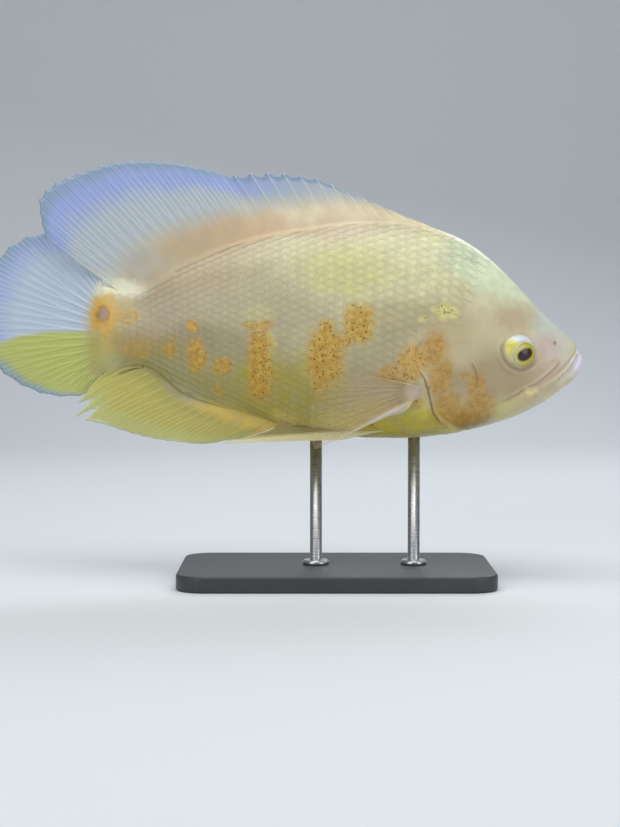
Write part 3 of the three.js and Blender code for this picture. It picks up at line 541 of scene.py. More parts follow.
# The ground colours, with the eyespot at the root of the tail, run on into the feet of the fins
ground, _, ground_out = new_group("oscar ground", [], [("Colour", "NodeSocketColor")])
place, _, sided, ragged = side_place(ground)
broad = wobbled(ground, sided, 42, 0.026, 2.0)
colour = GROUND
for x, z, long, high, tilt, strength, tint in WASHES:
    colour = tinted(ground, colour, covered(ground, broad, x, z, long, high, tilt, 1.1), strength, tint)
mottle = ranged(ground, cloud(ground, place, 150.0, 4.0), 0.36, 0.66, 0.0, 0.24)
colour = blend(ground, mottle, colour, rgb(168, 158, 136))
for x, z, long, high, tilt, strength, tint in TOUCHES:
    colour = tinted(ground, colour, covered(ground, ragged, x, z, long, high, tilt, 1.3), strength, tint)
spot_x, spot_z, spot_long, spot_high = EYESPOT
for x, z, long, high, soft, strength, tint in (
    (spot_x, spot_z, spot_long, spot_high, 0.9, 1.0, rgb(208, 164, 70)),
    (spot_x - 0.2, spot_z + 0.2, 3.2, 5, 0.6, 0.7, rgb(140, 110, 70)),
    (spot_x, spot_z + 0.6, 1.9, 3.6, 0.7, 0.8, rgb(170, 140, 126)),
):
    colour = tinted(ground, colour, covered(ground, ragged, x, z, long, high, 0, soft), strength, tint)
ground.links.new(colour, ground_out.inputs["Colour"])

# The blotches over it, with small dark dots
markings, _, markings_out = new_group("oscar markings", [], [("Colour", "NodeSocketColor")])
place, sides, _, ragged = side_place(markings)


def patches(places, soft):
    """How strongly any of a list of patches covers a place."""
    most = 0.0
    for x, z, long, high, tilt, square, strength in places:
        cover = covered(markings, ragged, x, z, long, high, tilt, soft, square)
        most = sum_of(markings, "MAXIMUM", most, times(markings, cover, strength))
    return most


fleck = patches(YELLOW_FLECKS, 0.9)
blotch = patches(TRUNK_BLOTCHES, 0.85)
cheek = patches(CHEEK_BLOTCHES, 1.0)
uneven = ranged(markings, cloud(markings, place, 380.0, 2.0), 0.35, 0.65)
orange = blend(markings, uneven, rgb(214, 172, 66), rgb(198, 146, 46))
cheek_orange = blend(markings, uneven, rgb(194, 154, 76), rgb(178, 134, 58))
colour = node(markings, "ShaderNodeGroup", node_tree=ground).outputs["Colour"]
colour = tinted(markings, colour, fleck, 0.8, rgb(224, 216, 136))
colour = tinted(markings, colour, cheek, 0.9, cheek_orange)
colour = tinted(markings, colour, blotch, 0.9, orange)
pepper = node(markings, "ShaderNodeTexVoronoi", {"Vector": place, "Scale": 760.0, "Randomness": 0.95})
dot_size = node(markings, "ShaderNodeSeparateColor", {0: pepper.outputs["Color"]}).outputs[0]
dot_edge = ranged(markings, dot_size, 0.0, 1.0, 0.14, 0.42, soft=False)
dots = ranged(markings, sum_of(markings, "SUBTRACT", dot_edge, pepper.outputs["Distance"]), -0.02, 0.06)
dotted = sum_of(markings, "MAXIMUM", ranged(markings, blotch, 0.3, 0.8), ranged(markings, fleck, 0.5, 0.9))
dotted = times(markings, dotted, ranged(markings, sides["X"], -0.048, -0.028, 0.4, 0.8))
dotted = sum_of(markings, "MAXIMUM", dotted, times(markings, cheek, 0.25))
colour = tinted(markings, colour, dots, dotted, rgb(106, 72, 38))
markings.links.new(colour, markings_out.inputs["Colour"])


def new_material(name, **plain):
    """A material with a Principled shader; plain gives the values that are the same all over."""
    material = bpy.data.materials.new(name)
    material.use_nodes = True
    tree = material.node_tree
    shader = tree.nodes["Principled BSDF"]
    for key, value in plain.items():
        shader.inputs[key.replace("_", " ")].default_value = value
    return material, tree, shader


# Fine, even grain, used wherever a surface is not quite smooth
grain, grain_in, grain_out = new_group(
    "fine grain",
    [(label, "NodeSocketFloat") for label in ("Scale", "Smoothest", "Roughest", "Depth")],
    [("Roughness", "NodeSocketFloat"), ("Normal", "NodeSocketVector")],
)
wanted = grain_in.outputs
fine = cloud(grain, object_place(grain), wanted["Scale"], 3.0)
rough = ranged(grain, fine, 0.3, 0.7, wanted["Smoothest"], wanted["Roughest"])
bump = node(grain, "ShaderNodeBump", {"Height": fine, "Strength": 0.3, "Distance": wanted["Depth"]})
grain.links.new(rough, grain_out.inputs["Roughness"])
grain.links.new(bump.outputs[0], grain_out.inputs["Normal"])


def add_grain(tree, shader, scale, smoothest, roughest, depth):
    values = {"Scale": scale, "Smoothest": smoothest, "Roughest": roughest, "Depth": depth}
    made = node(tree, "ShaderNodeGroup", node_tree=grain)
    for key, value in values.items():
        made.inputs[key].default_value = value
    for key in ("Roughness", "Normal"):
        tree.links.new(made.outputs[key], shader.inputs[key])


def attribute(tree, name, output="Fac"):
    return node(tree, "ShaderNodeAttribute", attribute_name=name).outputs[output]


def skin_material(name, scaled):
    """Wet, smooth fish skin with fine pores. On the scales each free edge is a little paler."""
    material, tree, shader = new_material(
        name, Subsurface_Weight=0.2, Subsurface_Radius=(0.004, 0.0022, 0.0012), Subsurface_Scale=1.0,
        IOR=1.38, Coat_Weight=0.25, Coat_Roughness=0.15,
    )
    colour = node(tree, "ShaderNodeGroup", node_tree=markings).outputs["Colour"]
    if scaled:
        colour = tinted(tree, colour, attribute(tree, "rim"), 0.06, rgb(232, 226, 204))
    else:
        colour = tinted(tree, colour, attribute(tree, "pale"), 0.8, rgb(220, 206, 180))
        # painted shade in the creases of mouth, nostril, folds, gill slit and under the eye
        colour = tinted(tree, colour, attribute(tree, "crease_shade"), 0.8, rgb(84, 64, 46))
    tree.links.new(colour, shader.inputs["Base Color"])
    add_grain(tree, shader, scale=900.0, smoothest=0.36, roughest=0.5, depth=0.0002)
    return material


turned_out(bm)
flesh_nodes = ("head", "lower_jaw", "gill_cover_left", "gill_cover_right", "torso", "tail_stalk")
finished("oscar_skin", bm, skin_material("oscar skin", scaled=False), nodes=flesh_nodes)

# The scales
# Thin round plates of bone overlap like tiles over the nape, trunk and tail stalk, each with its free edge to
# the rear. They lie almost flush in the skin, and two rows carry the low tubes of the lateral line.
SCALE_FIRST, SCALE_LAST = 76.0, -112  # X of the first and the last column
SCALE_LONG = (5.2, 3.4)  # spacing along the fish, behind the head and at the tail
SCALE_HIGH = (4.4, 3.2)  # spacing of the rows
SCALE_ROWS = 36
SCALE_JITTER = 0.3
SCALE_REACH = (0.86, 0.66)  # half a scale's length and height, in spacings
SCALE_LIFT = 0.03  # height of the free edge
SCALE_SUNK = 0.06  # depth of the front edge
TUBE_LIFT = 0.14
PLATE_STEPS = 5
MIDDLE_CLEAR = 1.5  # the scales end this far from the middle line
BAKE_PATCH = 0.003  # one scale's place on the unwrapped skin
LINE_ROWS = {"upper": (5, -60, 46), "lower": (0, -117, -56)}  # rows of the lateral line, from X to X
GIRTH_STEPS = 24
FLANK_FROM, FLANK_STEPS = 5, 40  # first section of the list of flank places, and its steps for each section


@functools.cache
def girth_at(station):
    """Lengths along the skin from the flank line to the back and to the belly, at even steps of turn."""
    arcs = []
    for sign in (1, -1):
        turns = [sign * math.pi / 2 * k / GIRTH_STEPS for k in range(GIRTH_STEPS + 1)]
        points = [on_section(section_at(station), turn) for turn in turns]
        lengths = [0.0]
        for a, b in zip(points, points[1:]):
            lengths.append(lengths[-1] + (b - a).length)
        arcs.append(lengths)
    return arcs


def turn_at(station, up_skin):
    """The turn, on the left side, of a place this far along the skin above the flank line."""
    lengths = girth_at(round(station, 2))[0 if up_skin >= 0 else 1]
    away = min(abs(up_skin), lengths[-1])
    k = min(bisect.bisect_right(lengths, away), GIRTH_STEPS) - 1
    steps = k + (away - lengths[k]) / (lengths[k + 1] - lengths[k])
    return math.copysign(math.pi / 2 * steps / GIRTH_STEPS, up_skin)


def to_middle(station, up_skin):
    """How far a place is, along the skin, from the crest of the back or the edge of the belly."""
    return girth_at(round(station, 2))[0 if up_skin >= 0 else 1][-1] - abs(up_skin)


flank_count = (LAST - FLANK_FROM) * FLANK_STEPS + 1
flank_x = [-section_at(FLANK_FROM + k / FLANK_STEPS)[2] for k in range(flank_count)]


def station_near(x):
    """The station whose flank is at X."""
    k = int(clamp(bisect.bisect_right(flank_x, -x), 1, len(flank_x) - 1))
    share = clamp((-x - flank_x[k - 1]) / (flank_x[k] - flank_x[k - 1]), 0, 1)
    return FLANK_FROM + (k - 1 + share) / FLANK_STEPS


def scale_share(point, station, up_skin):
    """How much of a full scale stands here: none on the bare head, in the gill slit or on the middle line."""
    away, side, along = to_line(point.x, point.z, GILL_OPENING)
    if side > 0 and along < 1 and point.z < 130 or away < 3.4 and 0 < along < 1:
        return 0
    bare = smooth(0, 22, 62 + 14 * smooth(128, 165, point.z) - point.x)
    return bare * smooth(SCALE_LAST, -104, point.x) * smooth(MIDDLE_CLEAR, 9, to_middle(station, up_skin))


bm = bmesh.new()
rim_layer = bm.verts.layers.float.new("rim")
bake_uv = bm.loops.layers.uv.new("OFBake")
rng = random.Random(11)
column, x = 0, SCALE_FIRST
while x > SCALE_LAST:
    toward_tail = clamp((60 - x) / 175, 0, 1)
    step_long, step_high = mix(*SCALE_LONG, toward_tail), mix(*SCALE_HIGH, toward_tail)
    for row in range(-SCALE_ROWS, SCALE_ROWS + 1):
        up_skin = (row + 0.5 * (column % 2)) * step_high
        centre_x = x + rng.uniform(-SCALE_JITTER, SCALE_JITTER)
        station = station_near(centre_x)
        if to_middle(station, up_skin) < MIDDLE_CLEAR:
            continue
        share = scale_share(on_section(section_at(station), turn_at(station, up_skin)), station, up_skin)
        if share < 0.05:
            continue
        reach_long, reach_high = SCALE_REACH[0] * step_long, SCALE_REACH[1] * step_high

        def place_at(back, up):
            """A place on the skin, this far to the rear of the scale's middle and above it."""
            here = station_near(centre_x - back)
            return skin_point(here, turn_at(here, up_skin + up))[0]

        middle, out = place_at(0, 0), body_frame(station, turn_at(station, up_skin))[1]
        rear, front = place_at(reach_long, 0), place_at(-reach_long, 0)
        upper, lower = place_at(0, reach_high), place_at(0, -reach_high)
        on_line = any(row == line and low < x < high for line, low, high in LINE_ROWS.values())
        unwrapped = (station / LAST, turn_at(station, up_skin) / math.tau + 0.25)
        for side in (1, -1):
            lift = share * SCALE_LIFT * rng.uniform(0.8, 1.15)
            plate = bmesh.ops.create_grid(bm, x_segments=PLATE_STEPS, y_segments=PLATE_STEPS, size=1)["verts"]
            for v in plate:
                a = v.co.x * math.sqrt(1 - v.co.y**2 / 2)
                b = v.co.y * math.sqrt(1 - v.co.x**2 / 2) * (1 - 0.1 * max(0, -v.co.x))
                radius = math.hypot(a, b)
                height = mix(-SCALE_SUNK, lift, smooth(-1, 0.7, a)) - 0.07 * smooth(0.8, 1, radius)
                if on_line:
                    height += hump(b, TUBE_LIFT, 0, 0.2) * smooth(-0.7, -0.2, a) * smooth(0.9, 0.5, a)
                spot = middle + (rear - front) / 2 * a + (rear + front - 2 * middle) / 2 * a * a
                spot += (upper - lower) / 2 * b + (upper + lower - 2 * middle) / 2 * b * b + out * height
                for loop in v.link_loops:
                    patch = (unwrapped[0] + a * BAKE_PATCH / 2, unwrapped[1] + b * BAKE_PATCH / 2)
                    loop[bake_uv].uv = patch if side > 0 else (patch[0], 1 - patch[1])
                v[rim_layer] = smooth(0.5, 0.9, radius) * smooth(-0.3, 0.6, a)
                v.co = Vector((spot.x, side * spot.y, spot.z)) * MM
            if side < 0:
                bmesh.ops.reverse_faces(bm, faces=list({face for v in plate for face in v.link_faces}))
    x -= step_long
    column += 1
for face in bm.faces:
    face.smooth = True
finished("oscar_scales", bm, skin_material("oscar scales", scaled=True))

# The dorsal fin
# Thirteen stiff spines and twenty soft rays of bone carry a thin web along the back. The spines stay single,
# and the soft rays split in two, and again, towards the edge. At its foot flesh and scales run up the web.
# A ray's height over the web at root and tip, its width, whether it splits, and how far up the web joins it
SPINE = {"root": 0.95, "tip": 0.3, "wide": 0.85, "splits": False, "web": 0.93}
SOFT_RAY = {"root": 0.42, "tip": 0.18, "wide": 1.0, "splits": True, "web": 0.985}
FIRST_SPLIT, SECOND_SPLIT = (0.24, 0.16, 0.6), (0.12, 0.5, 0.9)  # how wide, and from where to where
WEB_HALF = (0.26, 0.13)  # half thickness of the web, at the root and near the edge
WEB_EDGE = 0.965  # the share of a ray's length from which the web thins out to its edge
SUNK = 6  # how far a fin's root reaches into the body
FOOT_HIGH = 12  # height over which the flesh at a fin's foot thins out
EVERYWHERE = (-2.0, -1.0)  # a range that the whole fin lies past
DORSAL_SPINES = [
    (43, 178.4), (31.7, 182.9), (16.8, 189.5), (3, 195.3), (-8, 200.6), (-20.4, 202.9), (-36, 203.8),
    (-51, 202.7),
]
DORSAL_RAYS = [
    (-57.5, 203.6), (-67.6, 206), (-82.5, 208.5), (-97.4, 209.5), (-110, 208.6), (-121, 205.4),
    (-132.2, 201.4), (-139.7, 197.4), (-146.5, 191), (-146, 180.5), (-144, 172),
]


def evened(points, steps=240):
    """A smooth curve through points, as a function of the share of its length."""
    points = [Vector(p) for p in points]
    spots = []
    for k in range(steps + 1):
        at = (len(points) - 1) * k / steps
        i = min(int(at), len(points) - 2)
        f = at - i
        p0, p1 = points[max(i - 1, 0)], points[i]
        p2, p3 = points[i + 1], points[min(i + 2, len(points) - 1)]
        v1, v2 = (p2 - p0) / 2, (p3 - p1) / 2
        cubic, square = 2 * p1 - 2 * p2 + v1 + v2, -3 * p1 + 3 * p2 - 2 * v1 - v2
        spots.append(cubic * f**3 + square * f**2 + v1 * f + p1)
    lengths = [0.0]
    for a, b in zip(spots, spots[1:]):
        lengths.append(lengths[-1] + (b - a).length)

    def at_share(share):
        want = clamp(share, 0, 1) * lengths[-1]
        k = min(bisect.bisect_right(lengths, want), steps) - 1
        return spots[k].lerp(spots[k + 1], (want - lengths[k]) / max(lengths[k + 1] - lengths[k], 1e-9))

    return at_share


def height_at(x, edge):
    """The height of the back or the belly on the middle line."""
    key_x, key_z = (0, 1) if edge == "back" else (4, 5)
    low, high = 2.0, float(LAST)
    for _ in range(40):
        middle = (low + high) / 2
        low, high = (middle, high) if section_at(middle)[key_x] > x else (low, middle)
    return section_at(low)[key_z]


def bent_ray(root, tip, bow, kind, bow_way=None, fullness=1.0):
    """A ray from root to tip in one bend. fullness is the share of the fin's flesh that it carries."""
    run = tip - root
    way = bow_way or Vector((run.z, 0, -run.x)).normalized()
    points = (root, (root + tip) / 2 + way * bow, tip)
    return {"points": points, "length": run.length, "full": fullness, **kind}


def on_ray(ray, share):
    root, bend, tip = ray["points"]
    if share < 0:
        return root + (bend - root).normalized() * share * ray["length"]
    return root * (1 - share) ** 2 + bend * 2 * share * (1 - share) + tip * share**2


def half_width(x, z):
    """The body's half width at a place of the side view."""
    flank_at = x
    for _ in range(4):
        back_x, back_z, middle_x, middle_z, belly_x, belly_z, half = section_at(station_near(flank_at))
        above = z > middle_z
        end_x, end_z, power = (back_x, back_z, BACK_POWER) if above else (belly_x, belly_z, BELLY_POWER)
        up = clamp((z - middle_z) / (end_z - middle_z), 0, 1)
        flank_at = x + middle_x - mix(middle_x, end_x, up)
    past = clamp((section_at(LAST)[2] - x) / END_REACH, 0, 1)
    return half * (1 - up * up) ** (power / 2) * (1 - smooth(0, 1, past))


def upright_rays(count, roots, tips, edge, bow, lean, kind, part=(0, 1)):
    """Rays of a fin on the middle line, with roots along the back or belly and tips along a curve."""
    tip_at = evened([(x, 0, z) for x, z in tips])
    rays = []
    for k in range(count):
        share = k / (count - 1)
        root_x = mix(*roots, share)
        root = Vector((root_x, 0, height_at(root_x, edge)))
        tip = tip_at(share)
        tip.y = mix(*lean, mix(*part, share)) * (tip - root).length
        rays.append(bent_ray(root, tip, mix(*bow, mix(*part, share)), kind))
    return rays


def ray_height(ray, off, apart, reach):
    """Height of the ray, as a share of a full one, at a place off its middle; a soft ray splits twice."""
    wide = 0.62 * min(mix(ray["wide"], ray["wide"] * 0.55, reach), 0.3 * apart)
    if not ray["splits"]:
        return math.exp(-((off * apart / wide) ** 2))
    first, second = (part * smooth(start, end, reach) for part, start, end in (FIRST_SPLIT, SECOND_SPLIT))
    tall = 1 - 0.3 * smooth(0.2, 0.8, reach)
    nearest = min(abs(off - a * first - b * second) for a in (-1, 1) for b in (-1, 1))
    return tall * math.exp(-((nearest * apart / wide) ** 2))


def joined(thick, other, soft):
    """The larger of two thicknesses, rounded out where they are nearly alike."""
    return max(thick, other) + max(soft - abs(thick - other), 0) ** 2 / (4 * soft)


def close_holes(bm):
    bmesh.ops.holes_fill(bm, edges=[e for e in bm.edges if e.is_boundary])


def web_mesh(rays, flesh, per_ray=12, rows=44, wave=0.0):
    """A fin's closed mesh: one face from the first ray to the last, and the other face back again.

    flesh gives the foot's half thickness and height, how high the scales run at the first and the last ray,
    how high the tint at the foot is and from where (on the anal fin it is a painted shadow), and how softly
    and how high the foot leaves the body.
    """
    bm = bmesh.new()
    ray_layer, reach_layer, flesh_layer, foot_layer, across_layer = (
        bm.verts.layers.float.new(key) for key in ("ray", "reach", "flesh", "foot", "across")
    )
    flesh = {"foot": 3, "foot_from": EVERYWHERE, "fillet": 0, "fillet_high": 3, **flesh}
    columns = (len(rays) - 1) * per_ray + 4
    overshoot = 2 / per_ray
    last = len(rays) - 1
    bmesh.ops.create_grid(bm, x_segments=2 * columns, y_segments=rows, size=0.5)

    def foot_of(ray):
        """How far the flesh spreads at a sunk root to fill the body there."""
        sunk = on_ray(ray, -SUNK / ray["length"])
        beyond = 0.95 * half_width(sunk.x, sunk.z) - 0.3 - ray["full"] * flesh["half"]
        return max(0.5, beyond) if abs(sunk.y) < 1 else 0.5

    feet, fulls = [foot_of(ray) for ray in rays], [ray["full"] for ray in rays]

    @functools.cache
    def middle(place, share):
        """A place on the web's middle sheet, which reaches less far up between two rays."""
        i = int(clamp(math.floor(place), 0, last - 1))
        f = place - i
        slack = math.sin(math.pi * clamp(f, 0, 1)) ** 0.8 * (1 - min(rays[i]["web"], rays[i + 1]["web"]))
        here = share * (1 - slack) if share > 0 else share
        return on_ray(rays[i], here).lerp(on_ray(rays[i + 1], here), f)

    for v in bm.verts:
        column = (v.co.x + 0.5) * 2 * columns
        way = 1 if column <= columns else -1
        place = round(mix(-overshoot, last + overshoot, min(column, 2 * columns - column) / columns), 4)
        up_grid = v.co.y + 0.5
        nearest = int(clamp(round(place), 0, last))
        ray, off = rays[nearest], place - nearest
        share = round(mix(-SUNK / ray["length"], 1, up_grid), 4)
        spot = middle(place, share)
        across = middle(round(place + 0.05, 4), share) - middle(round(place - 0.05, 4), share)
        along = middle(place, min(share + 0.02, 1)) - middle(place, share - 0.02)
        out = across.cross(along).normalized()
        apart = max(across.length * 10, 0.8)
        reach = clamp(share, 0, 1)
        up_web = reach * ray["length"]
        i = int(clamp(math.floor(place), 0, last - 1))
        full, foot = (mix(values[i], values[i + 1], clamp(place - i, 0, 1)) for values in (fulls, feet))
        scaled = mix(*flesh["scaled"], place / last) * mix(full, 1, 0.3)
        fleshy = smooth(1.25, 0.4, up_web / scaled)
        ridge = ray_height(ray, off, apart, reach) * (1 - 0.85 * fleshy)
        thick = mix(*WEB_HALF, reach) + ridge * mix(ray["root"], ray["tip"], reach**0.8)
        thick += full * flesh["half"] * max(0, 1 - up_web / flesh["high"]) ** 1.6
        from_body = share * ray["length"]
        if flesh["fillet"] and from_body < flesh["fillet_high"]:
            # The foot widens to just under the body's side. Where a ray leans over, one side has less to go.
            off_middle = spot.y - TAIL_SWING * max(0, TAIL_ROOT_X - spot.x)
            to_side = math.copysign(off_middle, off_middle * way * out.y)
            body = max(0, 0.97 * half_width(spot.x, spot.z) - 0.25 - to_side)
            soft = smooth(flesh["fillet_high"], -1, from_body)
            thick = joined(thick, body, 0.01 + flesh["fillet"] * soft)
        elif not flesh["fillet"]:
            thick += foot * max(0, 1 - (from_body + SUNK) / FOOT_HIGH) ** 2.4
        past = max(abs(place - last / 2) - last / 2, 0) / overshoot
        thick *= math.sqrt(max(0, 1 - past**2)) * math.sqrt(max(0, 1 - smooth(WEB_EDGE, 1, up_grid) ** 2))
        ripple = wave * reach**2 * math.sin(place * 0.9 + 2.5 * reach)
        v.co = (spot + out * (way * thick + ripple)) * MM
        v[ray_layer], v[reach_layer], v[flesh_layer] = ridge, reach, fleshy
        # the foot mask, which carries a painted shadow on the anal fin
        v[foot_layer] = smooth(flesh["foot"], 0.4, up_web) * smooth(*flesh["foot_from"], place / last)
        v[across_layer] = place / last
    bmesh.ops.remove_doubles(bm, verts=bm.verts, dist=2e-6)
    close_holes(bm)
    turned_out(bm)
    return bm


def fin_material(name, web, ray, band, rim, clear, ray_clear=0.0, firm=None, foot=None, lower=None):
    """Translucent web with paler rays, a band of colour before the edge, a thin rim and the body's foot.

    clear is how see-through the web is at root and edge, ray_clear the share of it that the rays have, firm
    where the web grows denser across the fin, and lower the tint under a bent line.
    """
    material, tree, shader = new_material(
        name, Subsurface_Weight=0.3, Subsurface_Scale=1.0, Subsurface_Radius=(0.0016, 0.0014, 0.0012),
        IOR=1.38,
    )
    place = object_place(tree)
    ridge, reach, flesh, across = (attribute(tree, key) for key in ("ray", "reach", "flesh", "across"))
    patchy = cloud(tree, place, 90.0, 3.0)
    uneven = sum_of(tree, "MULTIPLY_ADD", patchy, 0.14, sum_of(tree, "SUBTRACT", reach, 0.07))
    across_from = band.get("across", EVERYWHERE)
    banded = times(tree, ranged(tree, uneven, *band["from"]), ranged(tree, across, *across_from))
    colour = blend(tree, banded, web, band["tint"])
    if lower:
        spot = node(tree, "ShaderNodeSeparateXYZ", {0: wobbled(tree, place, 60, 0.003)})
        off = sum_of(tree, "SUBTRACT", spot.outputs["X"], lower["from_x"] * MM)
        drop = times(tree, times(tree, off, off), lower["bend"] / MM)
        edge = sum_of(tree, "SUBTRACT", lower["z"] * MM, drop)
        under = ranged(tree, sum_of(tree, "SUBTRACT", edge, spot.outputs["Z"]), -0.0012, 0.0018)
        colour = blend(tree, under, colour, lower["tint"])
        ray = blend(tree, under, ray, lower["ray"])
    colour = blend(tree, ranged(tree, uneven, *rim["from"]), colour, rim["tint"])
    colour = tinted(tree, colour, ridge, 0.6, ray)
    body = node(tree, "ShaderNodeGroup", node_tree=markings).outputs["Colour"]
    # Over the foot the body's colours take the foot tint: a painted shadow on the anal fin, the pale knob on
    # the pectoral
    if foot:
        body = tinted(tree, body, attribute(tree, "foot"), 0.7, foot)
    tree.links.new(blend(tree, flesh, colour, body), shader.inputs["Base Color"])
    off_ray = sum_of(tree, "MULTIPLY_ADD", ridge, ray_clear - 1.0, 1.0)
    seen = times(tree, off_ray, sum_of(tree, "SUBTRACT", 1.0, flesh))
    thin = ranged(tree, uneven, 0.1, 0.95, *clear, soft=False)
    if firm:
        thin = times(tree, thin, ranged(tree, across, *firm, 1.0, 0.4))
    solid = sum_of(tree, "SUBTRACT", 1.0, times(tree, seen, thin))
    tree.links.new(solid, shader.inputs["Alpha"])
    add_grain(tree, shader, scale=1500.0, smoothest=0.34, roughest=0.5, depth=0.0001)
    return material


dorsal_rays = upright_rays(
    13, roots=(48.5, -33), tips=DORSAL_SPINES, edge="back", bow=(0, 1.5), lean=(0, 0.02), kind=SPINE,
)
dorsal_rays += upright_rays(
    20, roots=(-37.5, -110), tips=DORSAL_RAYS, edge="back", bow=(3, -1.5), lean=(0.02, -0.13), kind=SOFT_RAY,
)
for k, ray in enumerate(dorsal_rays):
    ray["full"] = mix(1.0, 0.55, smooth(26, 32, k))  # the last rays carry less flesh
bm = web_mesh(dorsal_rays, {"half": 2.6, "high": 18, "scaled": (15, 25), "fillet": 4}, wave=0.6)
pale_fin = fin_material(
    "dorsal fin web", web=rgb(180, 190, 198), ray=rgb(200, 208, 214),
    band={"tint": rgb(146, 166, 224), "from": (0.55, 0.82), "across": (0.2, 0.45)},
    rim={"tint": rgb(128, 156, 184), "from": (0.84, 0.99)}, clear=(0.03, 0.25),
)
finished("dorsal_fin_web", bm, pale_fin, nodes=("dorsal_fin",))

# The tail fin
# Eighteen branched rays open from the end of the stalk in a round fan, swung a little to the fish's left. The
# upper part of the web is pale blue, and below a sharp line it is lemon green.
TAIL_TIPS = [
    (-119.6, 157.6), (-129.5, 167.5), (-139, 172.6), (-147, 174.3), (-155, 172.3), (-163, 168), (-170, 161),
    (-176.5, 150.5), (-180, 138), (-180.3, 127), (-178.4, 117.5), (-174, 110.5), (-167.8, 104), (-158, 97.5),
    (-148, 93.5), (-138, 92), (-128.5, 92.4), (-118.6, 96.6),
]
TAIL_RAYS = 18
TAIL_ROOT_Z = (146.8, 104.2)
TAIL_BOW = (-5, 5)  # fades to nothing at both edges

tail_tip_at = evened([(x, 0, z) for x, z in TAIL_TIPS])
tail_rays = []
for k in range(TAIL_RAYS):
    share = k / (TAIL_RAYS - 1)
    root = Vector((TAIL_ROOT_X, 0, mix(*TAIL_ROOT_Z, share)))
    tip = tail_tip_at(share)
    tip.y = TAIL_SWING * (tip - root).length
    bow = mix(*TAIL_BOW, share) * math.sin(math.pi * share)
    fullness = max(0.2, half_width(root.x, root.z) / half_width(root.x, sum(TAIL_ROOT_Z) / 2))
    tail_rays.append(bent_ray(root, tip, bow, SOFT_RAY, fullness=fullness))
tail_flesh = {"half": 3.1, "high": 18, "scaled": (10, 12), "fillet": 3, "fillet_high": 14}
bm = web_mesh(tail_rays, tail_flesh, per_ray=14, wave=0.5)
tail_web = fin_material(
    "tail fin web", web=rgb(182, 195, 210), ray=rgb(196, 207, 219),
    band={"tint": rgb(154, 172, 214), "from": (0.66, 0.9)},
    rim={"tint": rgb(132, 160, 186), "from": (0.84, 1.0)}, clear=(0.03, 0.25),
    lower={"tint": rgb(182, 188, 104), "ray": rgb(190, 194, 120), "from_x": -135, "z": 125.2, "bend": 0.005},
)
finished("tail_fin_web", bm, tail_web, nodes=("tail_fin",))

# The anal fin
# Three short spines and sixteen lemon soft rays hang from the rear of the belly. The web is split before the
# last three rays, and a painted dark olive shadow marks where it leaves the body.
ANAL_SPINES = [(-31, 73.2), (-43, 71.6), (-54, 70)]
ANAL_RAYS = [
    (-60.5, 69), (-68, 68.4), (-78, 69.4), (-90.6, 71), (-103, 74), (-113, 77.4), (-122, 79.8), (-131.5, 81),
]
ANAL_REAR = [(-129, 88.6), (-126.4, 92), (-123.4, 96)]
anal_shape = {"edge": "belly", "bow": (-2, 3.5), "lean": (0, -0.1), "kind": SOFT_RAY}
anal_rays = upright_rays(
    3, roots=(-24.5, -33.5), tips=ANAL_SPINES, edge="belly", bow=(0, 0), lean=(0, 0), kind=SPINE,
)
anal_rays += upright_rays(13, roots=(-38, -90), tips=ANAL_RAYS, part=(0, 0.8), **anal_shape)
anal_rays[-1]["web"] = 0.78  # the split in the web
anal_rays += upright_rays(3, roots=(-94.5, -109), tips=ANAL_REAR, part=(0.85, 1), **anal_shape)
anal_flesh = {"half": 2.2, "high": 13, "scaled": (13, 3), "fillet": 4, "fillet_high": 4}
bm = web_mesh(anal_rays, {**anal_flesh, "foot": 1.8, "foot_from": (0.3, 0.5)}, wave=0.5)
# foot is the painted shadow where the anal fin leaves the belly
lemon_fin = fin_material(
    "anal fin web", web=rgb(188, 180, 100), ray=rgb(196, 190, 116),
    band={"tint": rgb(186, 190, 122), "from": (0.6, 0.85)},
    rim={"tint": rgb(206, 212, 186), "from": (0.94, 1.0)}, clear=(0.05, 0.22), foot=rgb(128, 122, 62),
)
finished("anal_fin_web", bm, lemon_fin, nodes=("anal_fin",))

# The paired fins
# The pectoral fans out from behind the gill cover, thin, soft and beige, over the belly. The pelvic lies
# folded back along the belly, its first ray long and cream. Both are rooted in a knob of muscle.
PECTORAL_ROOT = [(39, 21.6, 98.6), (38, 19.6, 91.4)]
PECTORAL_TIPS = [
    (9, 28.5, 104.6), (-4.5, 30, 101.8), (-10.6, 31, 96.7), (-12.8, 31.5, 89.4), (-13.4, 32, 82),
    (-13.8, 32, 74.9), (-13, 31, 67.2), (-1, 29.5, 72), (10, 28, 77.2), (23, 26, 82.6), (32, 23.4, 84.8),
]
PECTORAL_RAYS = 14
PECTORAL_BOW, PELVIC_BOW = 3, -2.4  # how far the rays bend outwards
THIN_RAY = {**SOFT_RAY, "root": 0.2, "tip": 0.1}
PELVIC_ROOT = [(33, 9.6, 77.6), (29, 6.6, 77)]
PELVIC_TIPS = [
    (-6, 15.5, 71.2), (-56.5, 14, 69.7), (-43, 11.2, 73.5), (-32, 9, 77.5), (-20, 7.4, 79), (-8, 6.4, 79.6),
]
beige_fin = fin_material(
    "pectoral fin web", web=rgb(198, 176, 136), ray=rgb(204, 188, 158),
    band={"tint": rgb(206, 198, 190), "from": (0.1, 0.5), "across": (0.45, 0.8)},
    rim={"tint": rgb(204, 194, 176), "from": (0.94, 1.0)},
    clear=(0.62, 0.98), ray_clear=0.85, firm=(0.45, 0.85), foot=rgb(188, 172, 168),
)
